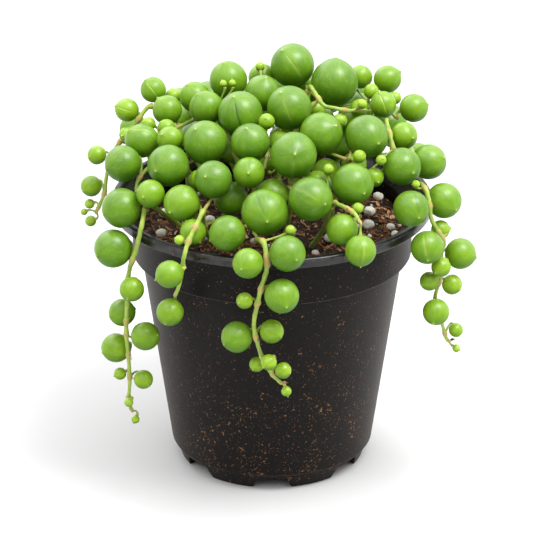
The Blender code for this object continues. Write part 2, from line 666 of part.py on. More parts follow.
def main():
    clear_scene()
    parts = collection("potted_string_of_pearls")
    tools = collection("cutters")
    finish = {name: material(name) for name in FINISHES}
    pot = outline_object("pot", pot_outline(), parts, finish["pot_plastic"], POT_SIDES)
    cut(pot, foot_cutters(tools))
    make_soil(parts, finish["potting_mix"])
    make_perlite(parts, finish["perlite"])
    strings = all_strings()
    for (name, item), centres in zip(strings.items(), settle(strings)):
        make_string(name, item, centres, parts, tools, finish["leaf_green"])


main()
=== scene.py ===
"""Looks of a potted string of pearls: a turned nursery pot, potting mix, stems and bead leaves.

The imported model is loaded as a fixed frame. Tables and working sizes are in millimetres, and meshes
are made in metres in the frame's own axes: +Z up, -Y towards the viewer.
"""

from functools import lru_cache
from math import copysign, cos, pi, radians, sin, tau

import bmesh
import bpy
import numpy as np
from bpy.props import FloatProperty, FloatVectorProperty, IntProperty, PointerProperty
from mathutils import Matrix, Vector, noise


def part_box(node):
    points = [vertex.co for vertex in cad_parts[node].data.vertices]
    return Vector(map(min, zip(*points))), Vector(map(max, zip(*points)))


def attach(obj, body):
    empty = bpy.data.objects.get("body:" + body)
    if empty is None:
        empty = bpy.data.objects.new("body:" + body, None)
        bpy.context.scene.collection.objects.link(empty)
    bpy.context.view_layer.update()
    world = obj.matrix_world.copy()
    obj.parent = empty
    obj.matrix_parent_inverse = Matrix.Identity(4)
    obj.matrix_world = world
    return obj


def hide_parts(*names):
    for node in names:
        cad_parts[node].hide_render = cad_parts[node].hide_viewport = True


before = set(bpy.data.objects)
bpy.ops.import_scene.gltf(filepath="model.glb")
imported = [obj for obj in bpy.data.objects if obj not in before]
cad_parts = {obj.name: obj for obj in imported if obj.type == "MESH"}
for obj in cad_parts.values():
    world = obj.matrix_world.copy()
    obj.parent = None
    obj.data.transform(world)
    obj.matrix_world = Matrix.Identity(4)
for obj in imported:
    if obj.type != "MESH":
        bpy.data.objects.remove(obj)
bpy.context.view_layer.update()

bl_info = {
    "name": "Potted string of pearls",
    "version": (1, 0, 0),
    "blender": (4, 5, 0),
    "location": "View3D > Sidebar > Plant",
    "description": "Builds the looks of a potted string of pearls around its packed frame",
    "category": "Add Mesh",
}

MM = 0.001
BODY = "root"

# Sizes that the construction fixes, in millimetres
GAP = 0.35
ROOT_CLEARANCE = 0.7
POT_HEIGHT = 70.0
LIP_RADIUS = 40.0
LIP_INNER_RADIUS = 38.3
LIP_DEPTH = 2.4
LIP_SLOPE = 2.2
EDGE = 0.5  # size of the lip's small chamfers
COLLAR_RADIUS = 35.0
COLLAR_BOTTOM = 55.8
WALL_TOP_RADIUS = 32.9
WALL_BOTTOM_RADIUS = 25.6
WALL_THICKNESS = 1.2
FOOT_HEIGHT = 4.3
FOOT_TOP_RADIUS = 24.9
FOOT_BOTTOM_RADIUS = 23.4
FOOT_THICKNESS = 1.6
FLOOR_THICKNESS = 1.2
FLOOR_UNDERSIDE = 3.7
INNER_SLOPE = 0.6
NOTCHES = 7
NOTCH_HEIGHT = 3.1
NOTCH_TOP_WIDTH = 7.3
NOTCH_BOTTOM_WIDTH = 9.6
DRAIN_HOLES = 5
DRAIN_RADIUS = 2.0
DRAIN_CIRCLE = 14.0
SOIL_EDGE = 62.2
SOIL_CROWN = 1.1
STEM_RADIUS = 0.65
STEM_STEP = 4.5
LEAF_SIDES = 44

# Perlite grains on the soil: x, y, size
PERLITE = [
    (-27, 2.5, 2.8), (-27.5, -9, 2.5), (-15.5, -3, 2.5), (-16.5, -12.5, 2.2), (-4.5, -14.5, 1.6),
    (24.5, 3.5, 2.7), (24, -5.5, 2.7), (29.5, -4.5, 2.0), (30.5, -9, 2.0), (14, -13.5, 2.3),
    (10.5, -21, 1.6), (27, 14, 2.4), (-24, 17, 2.6), (9, 27, 2.4), (-8, 24, 2.0),
]

# Each string of pearls: the points its stem passes through from the soil outwards, and its leaves as
# x, y, z and diameter. A leaf is joined to the nearest stem of its own string by a short stalk.
STRINGS = {
    "string_far_left": {
        "stems": [
            [(-20, 14, 63), (-23, 13, 76), (-27, 11, 86.5), (-30.5, 10, 90), (-34, 9, 86),
             (-38, 9, 81), (-40.5, 10, 76.5), (-41.8, 10.5, 71), (-42.3, 11, 67), (-43.6, 11.5, 63),
             (-45, 12, 60)],
        ],
        "pearls": [
            (-29.7, 12, 92.5, 6.5), (-35.5, 10.5, 87.8, 6), (-36.3, 6, 84, 3.8), (-43, 10, 76.5, 4.8),
            (-45, 12, 67, 5.4), (-46, 12, 62.5, 2.6), (-47.8, 12, 60.5, 1.8), (-46.2, 12.5, 57.8, 2.9),
            (-25, 14.5, 91, 4), (-33, 17.5, 78.5, 7),
        ],
    },
    "string_left_tail": {
        "stems": [
            [(-21, -7, 63), (-26, -11, 69), (-29.5, -17, 74.5), (-30.8, -21.5, 75.3),
             (-31.8, -25.7, 71.8), (-33, -26.4, 66.8), (-34.9, -25.2, 60.3), (-35.5, -24.5, 51.8),
             (-35.9, -24, 44), (-35.4, -23.5, 34.5), (-35.4, -23, 28.5), (-35.8, -22.5, 24),
             (-34.8, -22.5, 20.8)],
        ],
        "pearls": [
            (-30, -20, 78.2, 7), (-35.2, -20.5, 75.2, 9.7), (-37.8, -24, 65.2, 9.3), (-34.3, -28, 57.5, 6),
            (-37, -20.2, 47, 6.7), (-38.4, -20.7, 37.5, 7.3), (-31.2, -25, 43, 7.1),
            (-37.2, -22.5, 31.3, 3.1), (-33.2, -23.5, 30.7, 4.8), (-35.6, -24.6, 24.8, 2.3),
            (-34.3, -22.3, 19.3, 2.1),
        ],
    },
    "string_front_left": {
        "stems": [
            [(-14, -15, 63), (-16, -21, 69), (-16.8, -27, 76), (-16.6, -30.8, 78.8), (-18, -33.5, 76.6),
             (-19.8, -36, 73.7), (-21, -38.4, 70.5), (-21.6, -37.8, 66), (-22.4, -36, 61.5),
             (-23.6, -34.5, 58)],
        ],
        "pearls": [
            (-14.2, -23, 83.2, 9.2), (-21, -25, 79.2, 8.8), (-19, -31.3, 74, 6.4), (-22.2, -35.5, 73.3, 2.4),
            (-22.3, -39, 67.5, 6.7), (-24.5, -34.2, 54.6, 6.7), (-10, -18.5, 77, 8.2),
        ],
    },
    "string_front_centre": {
        "stems": [
            [(-1, -20, 63), (-2.5, -27, 69.5), (-3.5, -33.5, 72.5), (-2, -39.5, 74.3),
             (-1.3, -43, 69.8), (-2.7, -43.5, 64.1), (-3.9, -43, 58.4), (-4.4, -42.5, 53.7),
             (-3.4, -42, 48.4), (-1.8, -41, 43.2), (0.6, -40.5, 39.4), (2.5, -40.2, 37.3)],
        ],
        "pearls": [
            (-0.5, -31, 77, 11.3), (-8.8, -34.5, 73.8, 8.7), (-5.6, -44, 71, 7.3), (3.2, -43.5, 73.3, 8.6),
            (1.2, -44.5, 63.4, 8.3), (-5.8, -43.3, 60.8, 4), (-7.2, -41.5, 50.5, 7.6), (-0.8, -42, 52.1, 5.8),
            (-1.3, -43, 45, 3.9), (-3.4, -39.5, 42.2, 3.7), (2.4, -41.4, 41.5, 4), (3, -40, 36.2, 2.5),
            (4.3, -36.5, 76.3, 2.5),
        ],
    },
    "string_front_right": {
        "stems": [
            [(9.5, -17, 63), (12.5, -21, 70), (14.2, -25, 78), (15.8, -29, 79.8),
             (19.5, -32.5, 79), (21.2, -36, 77.3)],
        ],
        "pearls": [
            (17.3, -33, 75.3, 7.7), (20.8, -38.3, 72.2, 7.5), (20.5, -28, 78.5, 2.8), (8.5, -29, 79.6, 10.7),
            (13.8, -21.5, 85.6, 2.8), (10.5, -19, 81, 7.5),
        ],
    },
    "string_right_tail": {
        "stems": [
            [(20, 2, 63), (25, -1, 74), (30, -5, 80), (34.5, -10.5, 78), (36.5, -16, 79.5),
             (37.8, -19.5, 78), (38.6, -21, 73), (40, -21.3, 70), (41.9, -20.5, 66.2),
             (41.2, -20, 62), (41.4, -19.5, 57.3), (40.2, -19.5, 51.4), (40.4, -19.3, 47.3),
             (42, -19, 43.7), (43.2, -18.5, 39.4), (44.3, -18.5, 38.2)],
            [(30, -5, 80), (29.6, -9, 86), (28.2, -4, 91), (28.6, 1, 90)],
        ],
        "pearls": [
            (31.5, -14, 83.2, 9.3), (37.2, -10, 82.5, 8.7), (34.5, -22.5, 76.3, 8.8), (42, -15, 74.8, 8.8),
            (38.2, -24, 67.3, 8.2), (46.3, -16, 61.2, 7.7), (41.2, -18, 68.3, 4.6), (41.2, -22.3, 61, 4.8),
            (39, -21, 56.2, 4.7), (44.2, -18.5, 54, 5), (40.2, -23.3, 49, 6.6), (44.8, -18.5, 41.3, 3.6),
            (45.3, -18.5, 37.2, 2), (34.8, -19, 81, 2), (26.2, -16, 82.2, 4.8), (26.4, -17.5, 86.6, 2.6),
            (32.4, -4, 87.6, 6.8),
        ],
    },
    "string_top": {
        "stems": [
            [(5, 8, 63), (7.5, 8.5, 80), (8.8, 8, 92.5), (9.4, 6.5, 96.5), (10.8, 2.5, 96), (12.8, -2, 94.8),
             (15.8, -3.5, 94.6), (19, -3, 93.8), (21.5, -1.5, 93.6), (23.5, -0.5, 93)],
        ],
        "pearls": [
            (5.2, 16, 98.6, 11), (16, 12, 95.6, 11.8), (4.2, -2, 94.2, 11), (16.8, -3.5, 92, 3.6),
            (22, -2.5, 95.2, 2.4), (11, 5, 91, 4.5),
        ],
    },
    "string_crown_left": {
        "stems": [
            [(-11, 5.5, 63), (-14.5, 8, 78), (-14.5, 8, 89), (-19, 5, 88.5), (-25, 2.5, 86.5),
             (-28.5, 2, 85)],
        ],
        "pearls": [
            (-11, 13, 95.3, 9.6), (-19.2, 10, 92.3, 7.8), (-16.5, 3, 92, 8.4), (-26.5, 6, 90.2, 7.4),
            (-30.3, 4, 88, 3.5), (-27.5, -1, 87.3, 4.5), (-12, 7.5, 97, 1.8), (-10, 7.8, 97, 1.8),
        ],
    },
    "string_crown_left_low": {
        "stems": [
            [(-19, -4, 63), (-20.5, -8, 75), (-21.5, -10.5, 82.5), (-26.5, -8.5, 83), (-31, -8.5, 80.3),
             (-33, -11, 78.2), (-33.4, -14, 76.5)],
        ],
        "pearls": [
            (-17, -11, 88.5, 10.8), (-25.2, -16, 83.2, 10.2), (-24.5, -8.5, 88, 6.5), (-31.2, -3, 86, 8.5),
            (-35.4, -9, 82.6, 9), (-18.5, -16, 81, 5),
        ],
    },
    "string_crown_middle": {
        "stems": [
            [(-4, 4, 63), (-4, 3, 78), (-3.2, 1.5, 88.5), (-2.2, -5, 88.6), (-1.5, -11, 86),
             (-2, -16, 83.5)],
        ],
        "pearls": [
            (-2.5, 19, 94.5, 7), (-3, 16.5, 98, 2.4), (-2.4, 6.5, 94.8, 9), (-7.6, -3.2, 93, 11),
            (-4.8, -14, 88.8, 9.5), (-1.4, -9, 93.3, 4), (1.5, -6.5, 87, 5.5), (-6.5, -21, 85, 7.6),
        ],
    },
    "string_crown_front": {
        "stems": [
            [(3.5, -10, 63), (4.5, -14, 74), (5, -18, 80), (4.5, -22.5, 81)],
        ],
        "pearls": [(6, -18, 88.2, 11.3), (0.5, -21.5, 79, 8)],
    },
    "string_crown_right": {
        "stems": [
            [(14, -7, 63), (15.8, -9.5, 75), (18, -12, 82.8), (19.3, -15.5, 86.2), (21.5, -17, 84)],
        ],
        "pearls": [
            (13, -11, 90.2, 10.6), (23.8, -8.5, 89.5, 10.8), (19.3, -22, 82.8, 10.1), (21, -18, 87.5, 3.2),
        ],
    },
    "string_crown_right_back": {
        "stems": [
            [(21, 10, 63), (23.5, 11, 78), (25.5, 10.5, 89), (29, 8, 89.5), (31.5, 6, 88)],
        ],
        "pearls": [
            (22, 17, 95, 6), (28.8, 16, 95, 7), (24.8, 9, 94.2, 3.8), (30.7, 11, 91.8, 3.2),
            (27.3, 4.8, 92.6, 6.6), (34.6, 6.5, 90.3, 7.2), (21.8, 5, 91.5, 4.5), (33.5, 14, 75, 6),
        ],
    },
}

# The strings at the back, each as azimuth in degrees, height of its arch and height of its far end
BACK_STRINGS = [
    (38, 77, 64), (55, 81, 72), (72, 83, 48), (89, 82, 66), (106, 82, 36), (123, 77, 64), (140, 74, 52),
]
# Their way up: distance from the axis, sway to the side, share of the climb to the arch, and drop
BACK_CLIMB = [(15, 0, 0, 0), (19, 1.2, 0.5, 0), (26, 0.6, 1, 0), (33, -0.8, 1, 2)]
BACK_OVER_LIP = [(40, -1.2, 76), (41.5, 0, 71)]  # distance from the axis, sway and height
BACK_OVERHANG = 42.0  # distance from the axis at which they hang down
HANG_TOP = 66.0  # height from which they hang straight
HANG_STEP = 7.0
HANG_SWAY = 1.5
HANG_WAVE = 0.35  # radians of sway to each millimetre of height
BACK_FIRST = 16.0  # along the stem, from the root to the first leaf
BACK_SPACING = 5.8  # along the stem, between neighbouring leaves
BACK_LARGEST = 10.0  # diameter of their largest leaves
LARGEST_OUTSIDE = 7.4  # diameter of their largest leaves over and beyond the lip
SMALLER_BELOW = 66.0  # height under which the leaves get smaller

# Short strings behind the crown, each as azimuth in degrees and height of its arch
INNER_STRINGS = [(45, 84), (63, 87), (81, 89), (131, 83)]
INNER_CLIMB = [(11, 0, 0, 0), (12.5, 0, 0.5, 0), (15.5, 0.5, 1, 2), (19.5, 0, 1, 0), (22.5, -0.5, 1, 0)]
INNER_FIRST = 17.0
INNER_SPACING = 5.4
INNER_LARGEST = 7.6

LEAF_SIZES = (8.6, 7.2, 9.4, 6.4, 8.2, 10.0, 5.6, 7.8)  # diameters that these strings take in turn
LEAF_TURNS = (70, -60, 5, -95, 45, -20, 100, -45)  # where leaves sit around the stem, in degrees
LEAST_HANGING_TURN = 1.05  # radians, so that leaves beside the pot sit at the stem's sides
LEAF_STANDOFF = 1.4  # from the middle of the stem to the leaf's near side
LIP_NEAR = 2.0  # how far inside the lip leaves already count as hanging
LIP_ABOVE = 3.0  # and how far above it
LEAST_SHARE = 0.4  # of its size, for the smallest leaf at the end of a string
SHRINK_LENGTH = 60.0  # height over which leaves would shrink to nothing

# Easing the leaves apart
ROUNDS = 400
LEAF_PUSH = 0.8
STEM_PUSH = 0.25
LONGEST_MOVE = 0.5  # in one round
SETTLE_STEP = 1.2  # spacing of the stem points that leaves are kept off
LEAF_MARGIN = 0.1  # beyond the clearance, from leaf to leaf
STEM_MARGIN = 0.15  # and from leaf to stem
SOIL_MARGIN = 0.6  # and from leaf to soil, for its lumps
TINY = 1e-9  # keeps a division from failing
GIVE = (0.7, 1.25, 0.8)  # how readily leaves move sideways, front to back and up
FRONT_SHARE = 0.04  # how readily the leaves listed in STRINGS give way to the others
LIP_MIDDLE = 1.2  # from the lip's outer edge and from its top to the middle of its section
LIP_REACH = 1.7  # from there to its surface

# Cutters of the slots in the foot ring
NOTCH_ROUNDING = 1.0
CUTTER_BELOW = 1.5  # how far they go below the foot
CUTTER_FLARE = 0.7  # how much wider they are there, on each side
CUTTER_OUTSIDE = 30.0  # distance from the axis at which they begin
CUTTER_DEPTH = 13.0  # and how far they go in from there

SHARP_ANGLE = radians(38)  # bends of the pot from which an edge is shaded as sharp
FLOOR_DROP = 0.0001  # metres from the foot down to the studio floor

# Fineness and habits of the plant's pieces
FINE_STEP = 0.5  # spacing of points along a stem
STEM_SIDES = 12
STEM_SWAY = 0.12
STEM_TAPER = 0.35  # share of its girth that a stem loses
NODE_LENGTH = 0.8
NODE_SWELL = 0.5
STALK_POINTS = 9
STALK_SIDES = 8
LEAF_RINGS = 30
FAINT_SLITS = (-0.5, 0.3)  # of leaves that have no row under SLITS
WIDEST_TURN = 1.9  # radians between a leaf's stalk and the tip that TIPS gives it
EASY_TURN = 0.8  # and between a stalk and any other tip

# The loose things on the soil
SOIL_CLEARANCE = 0.15  # between the soil's surface and the wall
CHIP_CLEARANCE = 0.2  # and between the crumbs of bark and the wall
SOIL_SKIRT = 2.0  # from the collar's bottom to the foot of the soil's surface
CHIP_REACH = 33.2  # how far from the axis the crumbs of bark lie
FIBRE_REACH = 31.0  # and the fibres
CRUMB_REACH = 33.0  # and the crumbs of perlite

VIEW_RISE = radians(24)  # how far above the horizon the front is looked at from
VIEW_UP = Vector((0, sin(VIEW_RISE), cos(VIEW_RISE)))  # up, as seen from there
VIEW_IN = Vector((0, cos(VIEW_RISE), -sin(VIEW_RISE)))  # away from there

# Where a leaf's tip shows on its disc from the front, as shares of its radius to the right and up
TIPS = {
    "string_far_left": [(-0.55, 0.68), (-0.93, 0.28), (-0.5, -0.2), (-0.8, -0.3), (-0.7, -0.5)],
    "string_left_tail": [
        (-0.45, -0.25), (-0.85, -0.25), (-0.8, -0.35), (-0.3, -0.75), (-0.8, -0.3), (-0.85, -0.3), (0.8, 0.1),
    ],
    "string_front_left": [(-0.41, -0.33), (-0.6, -0.5), (0.5, -0.7), None, (-0.92, -0.38), (-0.3, -0.8)],
    "string_front_centre": [
        (0.06, -0.49), (-0.97, -0.4), (-0.39, -0.36), (0.45, -0.34), (0.25, -0.6), (-0.6, -0.3),
        (-0.75, -0.45), (0.7, -0.4), (-0.6, -0.6), (-0.5, -0.7), (0.75, -0.3),
    ],
    "string_front_right": [(-0.75, -0.62), (0.0, -0.97), None, (0.59, -0.24), None, (-0.3, -0.5)],
    "string_right_tail": [
        (0.5, -0.35), (0.8, 0.2), (0.35, -0.5), (0.6, -0.5), (0.0, -0.75), (0.95, -0.25), (-0.4, -0.5),
        (-0.6, -0.6), (-0.8, -0.4), (0.7, -0.5), (-0.2, -0.8), (0.4, -0.8), None, None, (0.4, -0.5), None,
        (0.6, -0.2),
    ],
    "string_top": [(-0.45, 0.6), (0.05, 0.97), (-0.35, 0.62), (-0.4, 0.2)],
    "string_crown_left": [(-0.2, 0.8), (-0.4, 0.7), (-0.5, 0.69), (-0.6, 0.75), (-0.8, 0.3)],
    "string_crown_left_low": [(-0.42, 0.54), (-0.54, -0.27), (-0.6, 0.3), (-0.73, 0.55), (-0.85, -0.3)],
    "string_crown_middle": [
        (0.3, 0.8), None, (0.2, 0.75), (-0.28, 0.68), (-0.19, 0.66), None, None, (-0.04, -0.08),
    ],
    "string_crown_front": [(0.05, 0.0), (-0.5, -0.5)],
    "string_crown_right": [(0.8, 0.0), (0.47, -0.32), (0.5, -0.45)],
    "string_crown_right_back": [
        (0.4, 0.7), (0.88, 0.5), None, None, (-0.3, 0.8), (0.92, 0.2), None, (0.7, -0.2),
    ],
}

# Leaves whose slit shows: -1 a dark line, 1 a pale crease; and where that slit runs, seen from the front
SLITS = {
    ("string_top", 0): (0.6, (0.6, -0.8)),
    ("string_top", 2): (0.5, (0.3, -0.9)),
    ("string_far_left", 0): (1.0, (0.6, -0.8)),
    ("string_far_left", 1): (0.9, (0.9, -0.3)),
    ("string_crown_middle", 3): (-1.0, (0.2, -1.0)),
    ("string_crown_left_low", 3): (0.7, (1.0, -0.15)),
    ("string_crown_left_low", 1): (-0.6, (-0.3, 1.0)),
    ("string_crown_front", 0): (0.6, (-0.1, -1.0)),
    ("string_front_centre", 0): (-0.5, (-0.4, 0.9)),
    ("string_right_tail", 4): (0.8, (-0.2, 1.0)),
    ("string_crown_right_back", 4): (1.0, (0.35, -0.9)),
    ("string_front_right", 1): (0.8, (0.1, 1.0)),
    ("string_front_right", 3): (0.4, (-0.8, 0.5)),
    ("string_crown_left", 2): (-0.5, (-0.5, -0.8)),
}


class Signal:
    """One socket of a material's nodes. Arithmetic on it adds Math nodes, or Vector Math nodes on vectors."""

    def __init__(self, finish, socket):
        self.finish = finish
        self.socket = socket

    def _arithmetic(self, operation, first, second):
        if self.socket.type != "VECTOR":
            return self.finish.math(operation, first, second)
        first, second = ((part,) * 3 if isinstance(part, (int, float)) else part for part in (first, second))
        return self.finish.node("ShaderNodeVectorMath", {"operation": operation}, {0: first, 1: second})

    def __add__(self, other):
        return self._arithmetic("ADD", self, other)

    def __radd__(self, other):
        return self._arithmetic("ADD", other, self)

    def __sub__(self, other):
        return self._arithmetic("SUBTRACT", self, other)

    def __rsub__(self, other):
        return self._arithmetic("SUBTRACT", other, self)

    def __mul__(self, other):
        return self._arithmetic("MULTIPLY", self, other)

    def __rmul__(self, other):
        return self._arithmetic("MULTIPLY", other, self)

    def __truediv__(self, other):
        return self._arithmetic("DIVIDE", self, other)

    def __rtruediv__(self, other):
        return self._arithmetic("DIVIDE", other, self)


class Finish:
    """A material, or a world, in the making."""

    def __init__(self, name, kind="materials"):
        self.block = getattr(bpy.data, kind).new(name)
        self.block.use_nodes = True
        self.tree = self.block.node_tree
        self.tree.nodes.clear()

    def node(self, kind, settings=None, inputs=None, output=0):
        """Adds a node: first its settings, then the values or links of its sockets."""
        made = self.tree.nodes.new(kind)
        for name, value in (settings or {}).items():
            if name == "stops":
                elements = made.color_ramp.elements
                while len(elements) < len(value):
                    elements.new(1.0)
                for element, (position, hue) in zip(elements, value):
                    element.position = position
                    element.color = (*hue, 1.0)
            else:
                setattr(made, name, value)
        for name, value in (inputs or {}).items():
            if isinstance(value, Signal):
                self.tree.links.new(value.socket, made.inputs[name])
            else:
                made.inputs[name].default_value = value
        return Signal(self, made.outputs[output]) if made.outputs else None

    def math(self, operation, first, second=0.0):
        """Arithmetic on numbers."""
        return self.node("ShaderNodeMath", {"operation": operation}, {0: first, 1: second})

    def vector(self, x, y, z):
        """A vector from three numbers."""
        return self.node("ShaderNodeCombineXYZ", inputs={0: x, 1: y, 2: z})

    def ramp(self, share, *stops):
        """A colour ramp, each stop a position and a colour."""
        return self.node("ShaderNodeValToRGB", {"stops": stops}, {0: share})

    def between(self, share, first, second):
        """A number between two."""
        return self.node("ShaderNodeMix", {"data_type": "FLOAT"}, {0: share, 2: first, 3: second})

    def blend(self, share, first, second):
        """A colour between two, each a signal or three numbers."""
        first, second = (part if isinstance(part, Signal) else (*part, 1.0) for part in (first, second))
        return self.node("ShaderNodeMix", {"data_type": "RGBA"}, {0: share, 6: first, 7: second}, 2)

    def layers(self, base, *layers):
        """A base colour with layers over it, each a share and a colour."""
        for share, over in layers:
            base = self.blend(share, base, over)
        return base

    def step(self, value, low, high):
        """0 below low and 1 above high, with a soft change between them; high may be the lower one."""
        limits = {"interpolation_type": "SMOOTHSTEP"}
        if high >= low:
            return self.node("ShaderNodeMapRange", limits, {0: value, 1: low, 2: high, 3: 0.0, 4: 1.0})
        return self.node("ShaderNodeMapRange", limits, {0: value, 1: high, 2: low, 3: 1.0, 4: 0.0})

    def place(self):
        """Where a point is, in the object's own axes, in millimetres."""
        spot = self.node("ShaderNodeTexCoord", output="Object")
        return spot * (1 / MM)

    def noise(self, place, scale, detail=2.0, roughness=0.5):
        """Soft noise around 0.5."""
        sockets = {"Vector": place, "Scale": scale, "Detail": detail, "Roughness": roughness}
        return self.node("ShaderNodeTexNoise", inputs=sockets)

    def cells(self, place, scale):
        """Distance to the edges of scattered cells."""
        return self.node("ShaderNodeTexVoronoi", {"feature": "DISTANCE_TO_EDGE"},
                         {"Vector": place, "Scale": scale}, "Distance")

    def attribute(self, name, output="Fac"):
        """A value that the mesh carries at its points."""
        return self.node("ShaderNodeAttribute", {"attribute_name": name}, output=output)

    def parts(self, vector):
        """The x, y and z of a vector."""
        split = self.node("ShaderNodeSeparateXYZ", inputs={0: vector})
        return [Signal(self, socket) for socket in split.socket.node.outputs]

    def bump(self, height, depth, under=None):
        """A relief of a depth in millimetres where the height goes from 0 to 1."""
        sockets = {"Height": height, "Distance": depth * MM, "Strength": 1.0}
        if under is not None:
            sockets["Normal"] = under
        return self.node("ShaderNodeBump", inputs=sockets)

    def surface(self, **sockets):
        """Finishes with a Principled shader; a name's underscores stand for spaces."""
        named = {name.replace("_", " "): value for name, value in sockets.items()}
        shader = self.node("ShaderNodeBsdfPrincipled", inputs=named)
        self.node("ShaderNodeOutputMaterial", inputs={"Surface": shader})
        return self.block


# Finishes

def pot_plastic(pot):
    """Black recycled plastic: grain, dusty sheen, scratches, pale edge lines of wear and painted highlight,
    glossy lip and brown flecks.
    """
    finish = Finish("pot_plastic")
    place = finish.place()
    x, y, z = finish.parts(place)
    turn = finish.math("ARCTAN2", y, x)
    lower = finish.step(z, 62.0, 2.0)
    patches = finish.noise(place, 0.16, 2.0)
    crowd = 0.1 + lower * 0.45 + finish.step(patches, 0.38, 0.68) * 0.6
    coarse = finish.noise(place, 1.35, 3.0, 0.62)
    fine = finish.noise(place, 2.6, 2.0, 0.6)
    fleck = finish.step(coarse + crowd * 0.085, 0.7, 0.73)
    speck = finish.step(fine + crowd * 0.07, 0.72, 0.75)
    flecks = finish.math("MAXIMUM", fleck, speck)
    browns = finish.step(finish.noise(place, 0.9, 1.0), 0.35, 0.65)
    brown = finish.blend(browns, pot.fleck_colour, pot.pale_fleck_colour)
    around = finish.vector(turn * 2.2, z * 2.4, 0.0)
    scratch = finish.step(finish.noise(around, 2.3, 5.0, 0.72), 0.66, 0.76)
    dust = finish.step(finish.noise(place, 0.55, 4.0, 0.7), 0.42, 0.75)
    base = finish.layers(pot.plastic_colour, (dust * 0.55, pot.dust_colour),
                         (scratch * 0.22, pot.scratch_colour), (flecks * pot.fleck_share, brown))
    wear_and_highlight = finish.step(finish.noise(place, 0.7, 3.0, 0.6), 0.3, 0.62)
    # Pale lines along the collar's bottom, the foot's step and the lip's top: partly wear, partly painted
    # highlight where these edges catch the light
    for height, strength in ((COLLAR_BOTTOM, 0.5), (FOOT_HEIGHT, 0.4), (POT_HEIGHT - EDGE, 0.35)):
        off = finish.math("ABSOLUTE", z - height)
        line = finish.step(off, 0.42, 0.12) * wear_and_highlight * strength
        base = finish.blend(line, base, pot.edge_wear_and_highlight_colour)
    gloss = finish.step(z, POT_HEIGHT - 4.0, POT_HEIGHT - 2.0) * (0.5 + 0.4 * wear_and_highlight)
    grain = finish.noise(place, 5.5, 3.0, 0.65)
    relief = finish.bump(grain, 0.03)
    relief = finish.bump(flecks, 0.03, under=relief)
    rough = 0.37 + 0.16 * grain + 0.2 * flecks - 0.05 * scratch
    return finish.surface(Base_Color=base, Roughness=rough, Normal=relief, Specular_IOR_Level=0.125,
                          Specular_Tint=(1.0, 0.96, 0.93, 1.0), Sheen_Weight=0.03,
                          Sheen_Tint=(1.0, 0.68, 0.5, 1.0), Coat_Weight=gloss, Coat_Roughness=0.22,
                          Coat_Tint=(0.86, 0.92, 1.0, 1.0))


def potting_mix(soil):
    """Dark, damp, crumbly mix with brown patches."""
    finish = Finish("potting_mix")
    place = finish.place()
    crumbs = finish.noise(place, 0.9, 5.0, 0.65)
    patches = finish.noise(place, 0.28, 3.0)
    base = finish.layers(soil.mix_colour, (finish.step(crumbs, 0.42, 0.7), soil.brown_colour),
                         (finish.step(patches, 0.5, 0.75) * 0.5, soil.chip_colour))
    relief = finish.bump(finish.noise(place, 1.7, 5.0, 0.7), 0.7)
    return finish.surface(Base_Color=base, Roughness=0.72 + 0.2 * crumbs, Normal=relief)


def bark_chip(soil):
    """Bark and coir pieces, each with its own brown, with a grain along them."""
    finish = Finish("bark_chip")
    place = finish.place()
    tone = finish.attribute("tone")
    grain = finish.noise(place, 2.6, 4.0, 0.7)
    base = finish.ramp(tone + (grain - 0.5) * 0.55, (0.0, soil.mix_colour), (0.45, soil.brown_colour),
                       (0.8, soil.chip_colour), (1.0, soil.fibre_colour))
    relief = finish.bump(grain, 0.3)
    return finish.surface(Base_Color=base, Roughness=0.55 + 0.3 * grain, Normal=relief)


def perlite_grain(soil):
    """Off-white expanded glass: chalky, with brown stains, browner by depth in its pits and along hairline
    cracks.
    """
    finish = Finish("perlite_grain")
    place = finish.place()
    hollow = finish.attribute("hollow")
    cracks = finish.step(finish.cells(place, 0.85), 0.035, 0.0)
    stains = finish.step(finish.noise(place, 0.8, 4.0, 0.65), 0.5, 0.72)
    base = soil.perlite_colour
    for share in (stains * 0.2, cracks * 0.3, hollow * 0.5):
        base = finish.blend(share, base, soil.stain_colour)
    relief = finish.bump(finish.noise(place, 2.6, 4.0, 0.6), 0.22)
    return finish.surface(Base_Color=base, Roughness=0.85, Normal=relief, Subsurface_Weight=0.3,
                          Subsurface_Radius=(1.0, 1.0, 1.0), Subsurface_Scale=0.0005)


